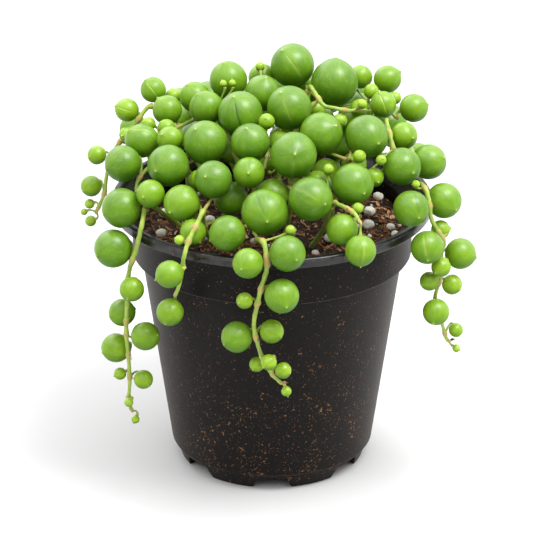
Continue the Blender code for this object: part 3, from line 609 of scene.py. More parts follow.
def leaf_flesh(plant):
    """Bead leaf: waxy green flesh, finely lined from tip to stalk, with a slit, a pale tip and painted shade
    on its undersides.
    """
    finish = Finish("leaf_flesh")
    across, beside, along = finish.parts(finish.attribute("leaf", "Vector"))
    age, seed, slit = finish.parts(finish.attribute("leaf_kind", "Vector"))
    from_axis = finish.math("SQRT", across * across + beside * beside + 1e-5)
    ring = finish.vector(across / from_axis, beside / from_axis, along * 0.55 + seed * 40.0)
    body = finish.vector(across, beside, along + seed * 40.0)
    lines = finish.noise(ring, 9.0, 3.0, 0.6)
    broad_lines = finish.noise(ring, 2.4, 2.0, 0.5)
    clouds = finish.noise(body, 1.3, 2.0)
    pores = finish.noise(body, 34.0, 1.0, 0.5)
    mature = age * 1.05 - 0.12 + 0.35 * (clouds - 0.5)
    base = finish.ramp(mature, (0.0, plant.bud_colour), (0.35, plant.young_colour),
                       (0.75, plant.leaf_colour), (1.0, plant.old_colour))
    side = finish.math("ABSOLUTE", beside)
    facing = finish.step(across, 0.0, 0.12)
    stretch = finish.step(along, -0.35, 0.35) * finish.step(along, 0.985, 0.9)
    window = finish.step(side + (lines - 0.5) * 0.06, 0.055, 0.0) * facing * stretch
    halo = finish.step(side, 0.2, 0.03) * facing * stretch
    dark = finish.step(slit, 0.0, -1.0)
    pale = finish.step(slit, 0.0, 1.0)
    _, _, up = finish.parts(finish.node("ShaderNodeTexCoord", output="Normal"))
    point = finish.attribute("point")
    base = finish.layers(
        base,
        (finish.step(lines, 0.45, 0.8) * 0.3, plant.line_colour),
        (finish.step(broad_lines, 0.55, 0.35) * 0.22, plant.old_colour),
        (finish.step(pores, 0.58, 0.75) * 0.16, plant.line_colour),
        (halo * dark * 0.4, plant.old_colour),
        (window * dark * 0.6, plant.slit_colour),
        (halo * pale * 0.25, plant.line_colour),
        (window * pale * 0.42, plant.tip_colour),
        # Painted shade: a deeper green where the surface faces down, standing in for shade under the leaf
        (finish.step(up, 0.25, -0.8) * 0.8, plant.painted_underside_shade_colour),
        (finish.step(along, -0.86, -0.985) * 0.6, plant.line_colour),
        (finish.step(along, -0.985, -0.998), plant.node_colour),
        (finish.step(point, 0.42, 0.9) * 0.85, plant.tip_colour),
        (finish.step(point, 0.7, 1.0) * 0.5, plant.node_colour),
    )
    bloom = 0.08 + 0.92 * finish.step(up, -0.15, 0.8)
    relief = finish.bump(lines, 0.03)
    relief = finish.bump(pores, 0.012, under=relief)
    rough = plant.leaf_roughness + 0.12 * (pores - 0.5) + 0.1 * (clouds - 0.5)
    return finish.surface(
        Base_Color=base, Roughness=rough, Normal=relief, Subsurface_Weight=plant.leaf_glow,
        Subsurface_Radius=(0.55, 1.0, 0.18), Subsurface_Scale=plant.glow_depth, Specular_IOR_Level=0.14,
        IOR=1.5, Coat_Weight=bloom, Coat_Roughness=0.34,
    )


def stem_skin(plant):
    """Yellow-green stem with cream patches, fine ridges along it and orange-tan nodes."""
    finish = Finish("stem_skin")
    place = finish.place()
    knot = finish.attribute("knot")
    shoot = finish.attribute("shoot")
    streaks = finish.noise(place, 1.6, 3.0, 0.6)
    patches = finish.noise(place, 0.42, 2.0)
    scars = finish.step(knot + (streaks - 0.5) * 0.5, 0.45, 0.85)
    base = finish.layers(
        plant.stem_colour,
        (finish.step(patches, 0.4, 0.68), plant.shoot_colour),
        (finish.step(streaks, 0.55, 0.8) * 0.55, plant.cream_colour),
        (shoot * 0.5, plant.shoot_colour),
        (scars * 0.8, plant.node_colour),
    )
    relief = finish.bump(finish.noise(place, 3.4, 3.0, 0.6), 0.16)
    return finish.surface(Base_Color=base, Roughness=0.46 + 0.1 * streaks, Normal=relief,
                          Subsurface_Weight=0.25, Subsurface_Radius=(0.7, 1.0, 0.25), Subsurface_Scale=0.0008)


def dried_skin(plant):
    """Papery dried bracts and stubs, straw to brown."""
    finish = Finish("dried_skin")
    place = finish.place()
    tone = finish.attribute("tone")
    creases = finish.noise(place, 3.2, 4.0, 0.65)
    pale = finish.step(tone + (creases - 0.5) * 0.6, 0.2, 0.8)
    base = finish.blend(pale, plant.husk_colour, plant.straw_colour)
    return finish.surface(Base_Color=base, Roughness=0.7 + 0.2 * creases, Normal=finish.bump(creases, 0.25))


def studio_floor(stage):
    """Matt white sheet with a trace of unevenness."""
    finish = Finish("studio_floor")
    haze = finish.noise(finish.place(), 0.004, 2.0)
    shaded = [0.97 * part for part in stage.floor_colour]
    base = finish.blend(haze * 0.05, stage.floor_colour, shaded)
    return finish.surface(Base_Color=base, Roughness=0.9, Normal=finish.bump(haze, 0.05))


# Mesh helpers

def add_piece(name, points, faces, material, nodes=(), smooth=True, values=None):
    """A mesh piece in the frame's axes that rides on the body; points are in millimetres.

    values holds what the mesh carries at its points: a name and one number or vector a point."""
    mesh = bpy.data.meshes.new(name)
    mesh.from_pydata((np.asarray(points, float) * MM).tolist(), [], faces)
    mesh.validate()
    for label, numbers in (values or {}).items():
        numbers = np.asarray(numbers, np.float32)
        kind, field = ("FLOAT", "value") if numbers.ndim == 1 else ("FLOAT_VECTOR", "vector")
        mesh.attributes.new(label, kind, "POINT").data.foreach_set(field, numbers.ravel())
    mesh.polygons.foreach_set("use_smooth", [smooth] * len(mesh.polygons))
    mesh.materials.append(material)
    piece = bpy.data.objects.new(name, mesh)
    bpy.context.scene.collection.objects.link(piece)
    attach(piece, BODY)
    if nodes:
        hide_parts(*nodes)


def joined(groups):
    """Several (points, faces, values) as one, with the faces' numbers moved on."""
    points, faces, values = [], [], {}
    start = 0
    for some_points, some_faces, some_values in groups:
        points.append(some_points)
        faces.extend([tuple(start + corner for corner in face) for face in some_faces])
        for label, numbers in some_values.items():
            values.setdefault(label, []).append(numbers)
        start += len(some_points)
    return np.concatenate(points), faces, {label: np.concatenate(parts) for label, parts in values.items()}


def ball_faces(rings, sides):
    """Faces of a closed ball: a point at each pole and rings of points between them."""
    faces = [(0, 1 + side, 1 + (side + 1) % sides) for side in range(sides)]
    for ring in range(rings - 1):
        low, high = 1 + ring * sides, 1 + (ring + 1) * sides
        for side in range(sides):
            after = (side + 1) % sides
            faces.append((low + side, high + side, high + after, low + after))
    last = 1 + (rings - 1) * sides
    end = 1 + rings * sides
    faces.extend((end, last + (side + 1) % sides, last + side) for side in range(sides))
    return faces


def ball_angles(polar, sides, gather=0.0):
    """Angle from the pole and turn about it of every point of a ball; gather crowds the turns near 0."""
    even = np.linspace(-pi, pi, sides, endpoint=False)
    turns = even - gather * np.sin(even)
    theta = np.concatenate([[0.0], np.repeat(polar, sides), [pi]])
    phi = np.concatenate([[0.0], np.tile(turns, len(polar)), [0.0]])
    return theta, phi


def directions(theta, phi):
    """Unit vectors at those angles from +Z."""
    return np.stack([np.sin(theta) * np.cos(phi), np.sin(theta) * np.sin(phi), np.cos(theta)], 1)


def lumps(points, scale, seed):
    """Soft noise, about -1 to 1, at each point."""
    shift = Vector((seed * 7.31, seed * 3.17, seed * 5.83))
    return np.array([noise.noise(Vector(point) * scale + shift) for point in points])


def tube(route, radii, sides):
    """Points and faces of a tube along a route, with a radius at each of its points."""
    route = np.array([tuple(point) for point in route])
    along = np.gradient(route, axis=0)
    along /= np.linalg.norm(along, axis=1)[:, None] + 1e-9
    normal = np.cross(along[0], (0.31, 0.74, 0.59))
    turns = np.arange(sides) * tau / sides
    rings = []
    for centre, forward, radius in zip(route, along, radii):
        normal = normal - forward * normal.dot(forward)
        normal /= np.linalg.norm(normal) + 1e-9
        second = np.cross(forward, normal)
        rings.append(centre + radius * (np.cos(turns)[:, None] * normal + np.sin(turns)[:, None] * second))
    points = np.concatenate(rings)
    faces = []
    for ring in range(len(route) - 1):
        for side in range(sides):
            after = (side + 1) % sides
            low, high = ring * sides, (ring + 1) * sides
            faces.append((low + side, low + after, high + after, high + side))
    last = (len(route) - 1) * sides
    faces.append(tuple(reversed(range(sides))))
    faces.append(tuple(range(last, last + sides)))
    return points, faces


def turned_to(axis, side):
    """Rotation whose third column is the axis and whose first column leans towards side."""
    axis = Vector(axis).normalized()
    side = Vector(side)
    first = side - side.dot(axis) * axis
    if first.length < 1e-4:
        first = axis.orthogonal()
    first.normalize()
    return np.array(Matrix((first, axis.cross(first), axis)).transposed())


# Where the plant grows

def smooth_route(points, step=STEM_STEP):
    """Points at about one step apart on a Catmull-Rom curve through the given ones."""
    given = [Vector(point) for point in points]
    padded = [2 * given[0] - given[1], *given, 2 * given[-1] - given[-2]]
    route = []
    for before, start, end, after in zip(padded, padded[1:], padded[2:], padded[3:]):
        count = max(1, round((end - start).length / step))
        for number in range(count):
            t = number / count
            route.append(
                0.5 * (2 * start + (end - before) * t + (2 * before - 5 * start + 4 * end - after) * t**2
                       + (3 * start - before - 3 * end + after) * t**3)
            )
    return [*route, given[-1]]


def climb(points, azimuth, arch):
    """The start of a string as far as its arch, with the ways outwards and sideways at its azimuth."""
    out = Vector((cos(radians(azimuth)), sin(radians(azimuth)), 0))
    side = Vector((-out.y, out.x, 0))
    stem = []
    for distance, sway, share, drop in points:
        height = SOIL_EDGE + share * (arch - SOIL_EDGE) - drop
        stem.append(distance * out + sway * side + Vector((0, 0, height)))
    return stem, out, side


def back_string(number, azimuth, arch, end):
    """A string that rises from the soil, arches over the back of the pot's lip and hangs down."""
    way = (-1) ** number
    rise = [(distance, sway * way, share, drop) for distance, sway, share, drop in BACK_CLIMB]
    stem, out, side = climb(rise, azimuth, arch)
    for distance, sway, height in BACK_OVER_LIP:
        stem.append(distance * out + sway * way * side + Vector((0, 0, height)))
    height = HANG_TOP
    while height > end:
        sway = HANG_SWAY * sin(HANG_WAVE * height)
        stem.append(BACK_OVERHANG * out + sway * side + Vector((0, 0, height)))
        height -= HANG_STEP
    pearls = leaves_along(stem, BACK_FIRST, BACK_SPACING, BACK_LARGEST, 3 * number)
    return {"stems": [stem], "pearls": pearls}


def soil_height(x, y):
    """The soil's surface: a low mound with soft lumps."""
    crown = SOIL_CROWN * (1 - (x * x + y * y) / 33.5**2)
    return SOIL_EDGE + crown + 0.35 * sin(0.42 * x + 1) * cos(0.37 * y) + 0.2 * sin(0.9 * x - 0.7 * y)


def inner_string(number, azimuth, arch):
    """A short string that stands up behind the crown and leans backwards."""
    stem, _, _ = climb(INNER_CLIMB, azimuth, arch)
    pearls = leaves_along(stem, INNER_FIRST, INNER_SPACING, INNER_LARGEST, 5 * number + 2)
    return {"stems": [stem], "pearls": pearls}


def leaves_along(stem, first, spacing, largest, start):
    """Leaves set at a spacing along a stem from its first one on, each turned and sized in turn."""
    route = smooth_route(stem, 1.0)
    pearls = []
    travelled = 0.0
    for before, here in zip(route, route[1:]):
        travelled += (here - before).length
        if travelled < first + spacing * len(pearls):
            continue
        turn = radians(LEAF_TURNS[(len(pearls) + start) % len(LEAF_TURNS)])
        if here.z < POT_HEIGHT + LIP_ABOVE and here.xy.length > LIP_INNER_RADIUS - LIP_NEAR:
            turn = copysign(max(abs(turn), LEAST_HANGING_TURN), turn)
        along = (here - before).normalized()
        out = Vector((here.x, here.y, 0)).normalized()
        up = (out + Vector((0, 0, 1))).normalized()
        up = (up - up.dot(along) * along).normalized()
        across = along.cross(up)
        size = min(largest, LEAF_SIZES[(len(pearls) + start) % len(LEAF_SIZES)])
        if here.xy.length > LIP_INNER_RADIUS - LIP_NEAR:
            size = min(size, LARGEST_OUTSIDE)
        if here.z < SMALLER_BELOW and here.xy.length > LIP_INNER_RADIUS:
            size *= max(LEAST_SHARE, 1 - (SMALLER_BELOW - here.z) / SHRINK_LENGTH)
        place = here + (up * cos(turn) + across * sin(turn)) * (size / 2 + LEAF_STANDOFF)
        pearls.append((*place, size))
    return pearls


def all_strings():
    """The listed strings and those at the back, each with its root just clear of the soil."""
    strings = dict(STRINGS)
    for number, (azimuth, arch, end) in enumerate(BACK_STRINGS):
        strings[f"string_back_{number + 1}"] = back_string(number, azimuth, arch, end)
    for number, (azimuth, arch) in enumerate(INNER_STRINGS):
        strings[f"string_inner_{number + 1}"] = inner_string(number, azimuth, arch)
    for item in strings.values():
        x, y, _ = item["stems"][0][0]
        item["stems"][0][0] = (x, y, soil_height(x, y) + ROOT_CLEARANCE)
    return strings


def settle(strings):
    """Eases the leaves apart until none touches a leaf, a stem, the pot or the soil.

    They give way more front to back than sideways. Returns each string's leaf centres."""
    owner = np.array([n for n, item in enumerate(strings.values()) for _ in item["pearls"]])
    leaves = np.array([leaf for item in strings.values() for leaf in item["pearls"]], float)
    place, radius = leaves[:, :3].copy(), leaves[:, 3] / 2
    ease = np.where(owner < len(STRINGS), FRONT_SHARE, 1.0)
    share = ease[:, None] / (ease[:, None] + ease[None])
    stem_points = []
    for item in strings.values():
        for stem in item["stems"]:
            stem_points.extend(smooth_route(stem, SETTLE_STEP))
    stem_points = np.array([tuple(point) for point in stem_points])
    for _ in range(ROUNDS):
        push = np.zeros_like(place)
        between = place[:, None] - place[None]
        apart = np.linalg.norm(between, axis=2) + np.eye(len(place))
        need = radius[:, None] + radius[None] + GAP + LEAF_MARGIN - apart
        np.fill_diagonal(need, 0)
        push += (between / apart[:, :, None] * (np.maximum(need, 0) * share)[:, :, None]).sum(1) * LEAF_PUSH
        between = place[:, None] - stem_points[None]
        apart = np.linalg.norm(between, axis=2) + TINY
        need = radius[:, None] + STEM_RADIUS + GAP + STEM_MARGIN - apart
        push += (between / apart[:, :, None] * np.maximum(need, 0)[:, :, None]).sum(1) * STEM_PUSH
        push += off_the_pot(place, radius)
        place += np.clip(push * GIVE, -LONGEST_MOVE, LONGEST_MOVE)
    return [place[owner == number] for number in range(len(strings))]


def off_the_pot(place, radius):
    """How far each leaf has to move to clear the lip, the wall outside and the soil."""
    push = np.zeros_like(place)
    out = np.linalg.norm(place[:, :2], axis=1)
    away = place[:, :2] / out[:, None]
    lip = np.array([LIP_RADIUS - LIP_MIDDLE, POT_HEIGHT - LIP_MIDDLE])
    to_lip = np.stack([out, place[:, 2]], 1) - lip
    apart = np.linalg.norm(to_lip, axis=1) + TINY
    need = np.maximum(radius + LIP_REACH + GAP - apart, 0) / apart
    push[:, :2] += away * (to_lip[:, 0] * need)[:, None]
    push[:, 2] += to_lip[:, 1] * need
    low = place[:, 2] < POT_HEIGHT - LIP_NEAR
    outside = low & (out > COLLAR_RADIUS)
    need = np.where(outside, np.maximum(LIP_RADIUS + radius + GAP - out, 0), 0)
    need[place[:, 2] + radius < POT_HEIGHT - LIP_DEPTH] = 0
    push[:, :2] += away * need[:, None]
    floor = SOIL_EDGE + SOIL_CROWN + SOIL_MARGIN + radius + GAP
    push[:, 2] += np.where(out < COLLAR_RADIUS, np.maximum(floor - place[:, 2], 0), 0)
    return push


# The pot

def rounded(corners, steps=4):
    """A closed outline through corners of (x, y, radius), each with an arc of its radius."""
    outline = []
    for number, (x, y, radius) in enumerate(corners):
        here = Vector((x, y))
        if radius == 0:
            outline.append(here)
            continue
        before = Vector(corners[number - 1][:2]) - here
        after = Vector(corners[(number + 1) % len(corners)][:2]) - here
        opening = before.angle(after)
        reach = min(radius / np.tan(opening / 2), 0.45 * before.length, 0.45 * after.length)
        middle = here + (before.normalized() + after.normalized()).normalized() * reach / cos(opening / 2)
        start = here + before.normalized() * reach - middle
        end = here + after.normalized() * reach - middle
        for step in range(steps + 1):
            share = step / steps
            outline.append(middle + start.lerp(end, share).normalized() * start.length)
    return outline


def pot_outline(edge):
    """Half of the pot's section, in millimetres as radius, height and edge radius."""
    collar_inner = COLLAR_RADIUS - WALL_THICKNESS
    lip_bottom = POT_HEIGHT - LIP_DEPTH
    under_lip = lip_bottom - LIP_SLOPE
    foot_inner = FOOT_BOTTOM_RADIUS - FOOT_THICKNESS
    floor_top = FLOOR_UNDERSIDE + FLOOR_THICKNESS
    return [
        (0, FLOOR_UNDERSIDE, 0),
        (foot_inner + INNER_SLOPE, FLOOR_UNDERSIDE, edge),
        (foot_inner, 0, edge),
        (FOOT_BOTTOM_RADIUS, 0, edge),
        (FOOT_TOP_RADIUS, FOOT_HEIGHT, 0.3 * edge),
        (WALL_BOTTOM_RADIUS, FOOT_HEIGHT, edge),
        (WALL_TOP_RADIUS, COLLAR_BOTTOM, 0.5 * edge),
        (COLLAR_RADIUS, COLLAR_BOTTOM, edge),
        (COLLAR_RADIUS, under_lip, edge),
        (LIP_RADIUS - WALL_THICKNESS, lip_bottom, 0.4 * edge),
        (LIP_RADIUS, lip_bottom, 0.7 * edge),
        (LIP_RADIUS, POT_HEIGHT, 1.3 * edge),
        (LIP_INNER_RADIUS, POT_HEIGHT, edge),
        (LIP_INNER_RADIUS - EDGE, POT_HEIGHT - WALL_THICKNESS, edge),
        (collar_inner, under_lip + INNER_SLOPE, edge),
        (collar_inner, COLLAR_BOTTOM + WALL_THICKNESS, edge),
        (WALL_TOP_RADIUS - WALL_THICKNESS, COLLAR_BOTTOM - WALL_THICKNESS, edge),
        (WALL_BOTTOM_RADIUS - WALL_THICKNESS, floor_top, edge),
        (0, floor_top, 0),
    ]


def spot_at(radius, angle):
    """The x and y of a place at a distance from the axis and a turn about it."""
    return radius * cos(angle), radius * sin(angle)


def turned_body(name, outline, sides):
    """An object turned from a section whose first and last points lie on the axis; in metres."""
    bm = bmesh.new()
    section = [bm.verts.new((MM * point.x, 0, MM * point.y)) for point in outline]
    edges = [bm.edges.new(pair) for pair in zip(section, section[1:])]
    bmesh.ops.spin(bm, geom=section + edges, cent=(0, 0, 0), axis=(0, 0, 1), angle=tau, steps=sides,
                   use_merge=True)
    bmesh.ops.remove_doubles(bm, verts=bm.verts, dist=0.01 * MM)
    bmesh.ops.recalc_face_normals(bm, faces=bm.faces)
    return object_from(bm, name)


def object_from(bm, name):
    """A new object with the mesh that was built in bm."""
    mesh = bpy.data.meshes.new(name)
    bm.to_mesh(mesh)
    bm.free()
    made = bpy.data.objects.new(name, mesh)
    bpy.context.scene.collection.objects.link(made)
    return made


def foot_slots():
    """Cutters for the foot ring's slots, with rounded top corners, and for the drain holes; in metres."""
    bm = bmesh.new()
    top, bottom = NOTCH_TOP_WIDTH / 2, NOTCH_BOTTOM_WIDTH / 2
    outline = rounded([
        (-bottom - CUTTER_FLARE, -CUTTER_BELOW, 0), (-top, NOTCH_HEIGHT, NOTCH_ROUNDING),
        (top, NOTCH_HEIGHT, NOTCH_ROUNDING), (bottom + CUTTER_FLARE, -CUTTER_BELOW, 0),
    ], 6)
    for turn in range(NOTCHES):
        corners = [bm.verts.new((point.x, -CUTTER_OUTSIDE, point.y)) for point in outline]
        made = bmesh.ops.extrude_face_region(bm, geom=[bm.faces.new(corners)])["geom"]
        far = [part for part in made if isinstance(part, bmesh.types.BMVert)]
        bmesh.ops.translate(bm, vec=(0, CUTTER_DEPTH, 0), verts=far)
        bmesh.ops.rotate(bm, verts=corners + far, matrix=Matrix.Rotation(tau * turn / NOTCHES, 3, "Z"))
    for turn in range(DRAIN_HOLES):
        place = spot_at(DRAIN_CIRCLE, tau * (turn + 0.5) / DRAIN_HOLES)
        middle = Matrix.Translation((*place, FLOOR_UNDERSIDE))
        bmesh.ops.create_cone(bm, cap_ends=True, segments=32, radius1=DRAIN_RADIUS, radius2=DRAIN_RADIUS,
                              depth=4 * FLOOR_THICKNESS, matrix=middle)
    bmesh.ops.recalc_face_normals(bm, faces=bm.faces)
    bmesh.ops.scale(bm, vec=(MM, MM, MM), verts=bm.verts)
    return object_from(bm, "foot_slots")


def make_pot(pot):
    """The turned pot with its foot ring's slots and its drain holes cut out."""
    body = turned_body("nursery_pot", rounded(pot_outline(pot.edge_radius / MM)), pot.sides)
    cutter = foot_slots()
    cut = body.modifiers.new("slots", "BOOLEAN")
    cut.object = cutter
    cut.solver = "EXACT"
    bpy.context.view_layer.update()
    shaped = bpy.data.meshes.new_from_object(body.evaluated_get(bpy.context.evaluated_depsgraph_get()))
    shaped.name = "nursery_pot"
    body.modifiers.clear()
    body.data = shaped
    bpy.data.objects.remove(cutter)
    shaped.set_sharp_from_angle(angle=SHARP_ANGLE)
    shaped.materials.clear()
    shaped.materials.append(pot_plastic(pot))
    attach(body, BODY)
    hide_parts("pot")


# Soil and perlite

def surface_height(x, y):
    """The soil's surface with its crumbs."""
    rough = 0.55 * noise.noise(Vector((0.35 * x, 0.35 * y, 3.0))) + 0.5 * noise.noise(Vector((x, y, 9.0)))
    return soil_height(x, y) + rough - 0.1


def scattered(draw, reach):
    """The x and y of a random place within a distance of the axis."""
    radius = reach * draw.uniform() ** 0.5
    return spot_at(radius, draw.uniform(0, tau))


def make_soil(soil):
    """The soil's crumbly surface, down to a skirt along the pot's wall."""
    top = COLLAR_RADIUS - WALL_THICKNESS - SOIL_CLEARANCE
    rings, sides = soil.rings, soil.sides
    points = [(0, 0, surface_height(0, 0))]
    for ring in range(1, rings + 1):
        radius = top * ring / rings
        for side in range(sides):
            x, y = spot_at(radius, tau * side / sides)
            points.append((x, y, surface_height(x, y)))
    for side in range(sides):
        points.append((*spot_at(top, tau * side / sides), COLLAR_BOTTOM + SOIL_SKIRT))
    points.append((0, 0, COLLAR_BOTTOM + SOIL_SKIRT))
    faces = ball_faces(rings + 1, sides)
    add_piece("soil_surface", points, [tuple(reversed(face)) for face in faces], potting_mix(soil),
              ["soil"])


def make_chips(soil):
    """Bark crumbs and coir fibres lying on the soil, most of them small."""
    draw = np.random.default_rng(soil.seed)
    theta, phi = ball_angles(np.linspace(0, pi, 5)[1:-1], 6)
    form = directions(theta, phi)
    form_faces = ball_faces(3, 6)
    groups = []
    for _ in range(soil.chips):
        x, y = scattered(draw, CHIP_REACH)
        length = 0.35 + 1.9 * draw.uniform() ** 2.6
        width = length * draw.uniform(0.35, 0.8)
        thick = width * draw.uniform(0.3, 0.7)
        shape = np.sign(form) * np.abs(form) ** 0.75 * (length / 2, width / 2, thick / 2)
        shape *= draw.uniform(0.72, 1.2, (len(form), 1))
        turn = Matrix.Rotation(draw.uniform(0, tau), 3, "Z") @ Matrix.Rotation(draw.normal(0, 0.45), 3, "Y")
        turn = turn @ Matrix.Rotation(draw.uniform(0, tau), 3, "X")
        lift = surface_height(x, y) + draw.uniform(0, 0.35)
        tone = np.full(len(form), draw.uniform() ** 1.15)
        groups.append((shape @ np.array(turn).T + (x, y, lift), form_faces, {"tone": tone}))
    for _ in range(soil.fibres):
        x, y = scattered(draw, FIBRE_REACH)
        heading = draw.uniform(0, tau)
        length = draw.uniform(1.5, 5.0)
        bend = draw.normal(0, 0.7)
        route = []
        for share in np.linspace(-0.5, 0.5, 7):
            way = heading + bend * share
            px, py = x + length * share * cos(way), y + length * share * sin(way)
            route.append(Vector((px, py, surface_height(px, py) + 0.35 + 0.5 * draw.uniform())))
        girth = draw.uniform(0.06, 0.15)
        points, faces = tube(route, girth * np.array([0.4, 0.9, 1, 1, 1, 0.9, 0.4]), 5)
        groups.append((points, faces, {"tone": np.full(len(points), draw.uniform(0.55, 1.0))}))
    points, faces, values = joined(groups)
    out = np.linalg.norm(points[:, :2], axis=1)
    limit = COLLAR_RADIUS - WALL_THICKNESS - CHIP_CLEARANCE
    points[:, :2] *= np.minimum(1, limit / np.maximum(out, 1e-6))[:, None]
    add_piece("bark_chips", points, faces, bark_chip(soil), smooth=False, values=values)


def perlite_form(size, seed, theta, phi):
    """A lumpy grain with pits, and how deep each of its points lies in a pit."""
    form = directions(theta, phi)
    swell = 1 + 0.14 * lumps(form, 1.3, seed) + 0.07 * lumps(form, 3.1, seed + 5)
    pits = np.clip(lumps(form, 2.1, seed + 11) - 0.5, 0, 1) * 2.4
    swell -= 0.55 * pits
    return form * (size / 2) * swell[:, None], np.clip(pits * 1.6, 0, 1)


def make_perlite(soil):
    """The grains of perlite one by one, and their crumbs as one piece."""
    draw = np.random.default_rng(soil.seed + 1)
    theta, phi = ball_angles(np.linspace(0, pi, 26)[1:-1], 40)
    faces = ball_faces(24, 40)
    material = perlite_grain(soil)
    for number, (x, y, size) in enumerate(PERLITE):
        form, hollow = perlite_form(size, number + 1, theta, phi)
        spin = Matrix.Rotation(1.3 * number, 3, "Z") @ Matrix.Rotation(0.7 * number, 3, "X")
        lift = soil_height(x, y) + 0.4 * size + GAP + 0.1
        points = (form @ np.array(spin).T) * (1.1, 0.98, 0.88) + (x, y, lift)
        name = f"perlite_{number + 1:02d}"
        add_piece(f"{name}_grain", points, faces, material, [name],
                  values={"hollow": hollow})
    theta, phi = ball_angles(np.linspace(0, pi, 9)[1:-1], 12)
    faces = ball_faces(7, 12)
    crumbs = []
    for number in range(soil.perlite_crumbs):
        x, y = scattered(draw, CRUMB_REACH)
        size = 0.4 + 1.0 * draw.uniform() ** 2
        form, hollow = perlite_form(size, number + 40, theta, phi)
        crumbs.append((form + (x, y, surface_height(x, y) + 0.3 * size), faces, {"hollow": hollow}))
    points, faces, values = joined(crumbs)
    add_piece("perlite_crumbs", points, faces, material, values=values)


# The plant

@lru_cache(maxsize=None)
def placed_strings():
    """Every string with its stems and its leaves as centre and diameter, as the construction places them."""
    strings = all_strings()
    places = settle(strings)
    found = {}
    for (name, item), centres in zip(strings.items(), places):
        low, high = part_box(name)
        leaves = [(Vector(centre), leaf[3]) for centre, leaf in zip(centres, item["pearls"])]
        for centre, size in leaves:
            for axis in range(3):
                if not low[axis] / MM - 0.3 * size < centre[axis] < high[axis] / MM + 0.3 * size:
                    raise ValueError(f"a leaf of {name} lies outside the construction")
        found[name] = {"stems": item["stems"], "leaves": leaves}
    return found


def closest_spot(stems, point):
    """Which stem, and how far along its route, is closest to a leaf."""
    best = None
    for number, stem in enumerate(stems):
        route = np.array([tuple(spot) for spot in smooth_route(stem, FINE_STEP)])
        apart = np.linalg.norm(route - np.array(point), axis=1)
        place = int(np.clip(apart.argmin(), 1, len(route) - 2))
        if best is None or apart[place] < best[0]:
            best = (apart[place], number, place, Vector(route[place]))
    return best[1:]


def leaf_axis(name, number, centre, spot):
    """The way a leaf points, from its stalk to its tip."""
    off_stem = (centre - spot).normalized()
    out = Vector((centre.x, centre.y, 0)).normalized()
    tips = TIPS.get(name, ())
    if number < len(tips) and tips[number]:
        right, up = tips[number]
        towards = (max(0.02, 1 - right * right - up * up)) ** 0.5
        wanted = Vector((right, 0, 0)) + up * VIEW_UP - towards * VIEW_IN
        widest = WIDEST_TURN
    else:
        upright = centre.z > POT_HEIGHT + 2
        wanted = (out * 0.8 + Vector((0, 0, 0.7)) if upright else out + Vector((0, 0, -0.5))).normalized()
        widest = EASY_TURN
    angle = off_stem.angle(wanted)
    if angle > widest:
        return off_stem.slerp(wanted, widest / angle)
    return wanted


def bead(centre, size, axis, side, seed, age, slit, plant):
    """A bead leaf's points and what its flesh needs to know about each."""
    theta, phi = leaf_angles()
    form = directions(theta, phi)
    width = 1.0 + 0.018 * noise.noise(Vector((seed, 0.5, 0)))
    swell = 1 + 0.016 * lumps(form, 1.1, seed)
    tip = plant.tip_length / MM / (size / 2) * (0.7 + 0.6 * abs(noise.noise(Vector((seed * 1.7, 4, 2)))))
    spike = np.exp(-((theta / 0.085) ** 1.6))
    shoulder = np.exp(-((theta / 0.3) ** 2))
    swell += 0.035 * shoulder + tip * spike
    swell -= 0.05 * np.exp(-(((pi - theta) / 0.24) ** 2))
    swell += 0.11 * np.exp(-(((pi - theta) / 0.1) ** 2))
    along_slit = np.clip((theta - 0.2) / 0.3, 0, 1) * np.clip((2.0 - theta) / 0.5, 0, 1)
    groove = np.exp(-((phi * np.sin(theta) / 0.05) ** 2)) * along_slit * np.cos(phi / 2) ** 2
    swell -= groove * (0.006 + 0.03 * abs(slit) ** 3)
    shape = form * swell[:, None] * (width, width, 1.0)
    points = (shape * (size / 2)) @ turned_to(axis, side).T + np.array(centre)
    kind = np.tile([age, seed % 1.0, slit], (len(form), 1))
    return points, {"leaf": form, "leaf_kind": kind, "point": spike}


@lru_cache(maxsize=None)
def leaf_angles():
    """Angles of a bead's points, crowded round the tip, the stalk and the slit."""
    polar = np.concatenate([(0.02, 0.045, 0.075, 0.11, 0.16, 0.23), np.linspace(0.33, pi - 0.3, 20),
                            (pi - 0.2, pi - 0.13, pi - 0.09, pi - 0.05)])
    return ball_angles(polar, LEAF_SIDES, 0.72)


def seed_of(name, number):
    """A number of its own for each leaf."""
    return (sum(ord(letter) * (place + 3) for place, letter in enumerate(name)) * 0.137 + number * 0.619) % 97


def make_leaves(plant):
    """The bead leaves of every string, one piece a string."""
    material = leaf_flesh(plant)
    bead_faces = ball_faces(LEAF_RINGS, LEAF_SIDES)
    for name, item in placed_strings().items():
        groups = []
        for number, (centre, size) in enumerate(item["leaves"]):
            seed = seed_of(name, number)
            spot = closest_spot(item["stems"], centre)[2]
            axis = leaf_axis(name, number, centre, spot)
            wobble = noise.noise(Vector((seed, 1.3, 2.1)))
            side = Vector((0.8 * wobble, 0.2, 1)) if centre.z > POT_HEIGHT else Vector((wobble, 0.1, 0.6))
            age = np.clip((size - 1.5) / 7.5, 0, 1) * 0.8 + 0.1 + 0.22 * noise.noise(Vector((seed, 7, 3)))
            slit = float(np.clip(1.6 * noise.noise(Vector((seed * 2.3, 3, 8))), *FAINT_SLITS))
            if (name, number) in SLITS:
                slit, (right, up) = SLITS[(name, number)]
                side = Vector((right, 0, 0)) + up * VIEW_UP - 0.2 * VIEW_IN
            points, values = bead(centre, size, axis, side, seed, float(np.clip(age, 0, 1)), slit, plant)
            groups.append((points, bead_faces, values))
        points, faces, values = joined(groups)
        add_piece(f"{name}_leaves", points, faces, material, [name], values=values)


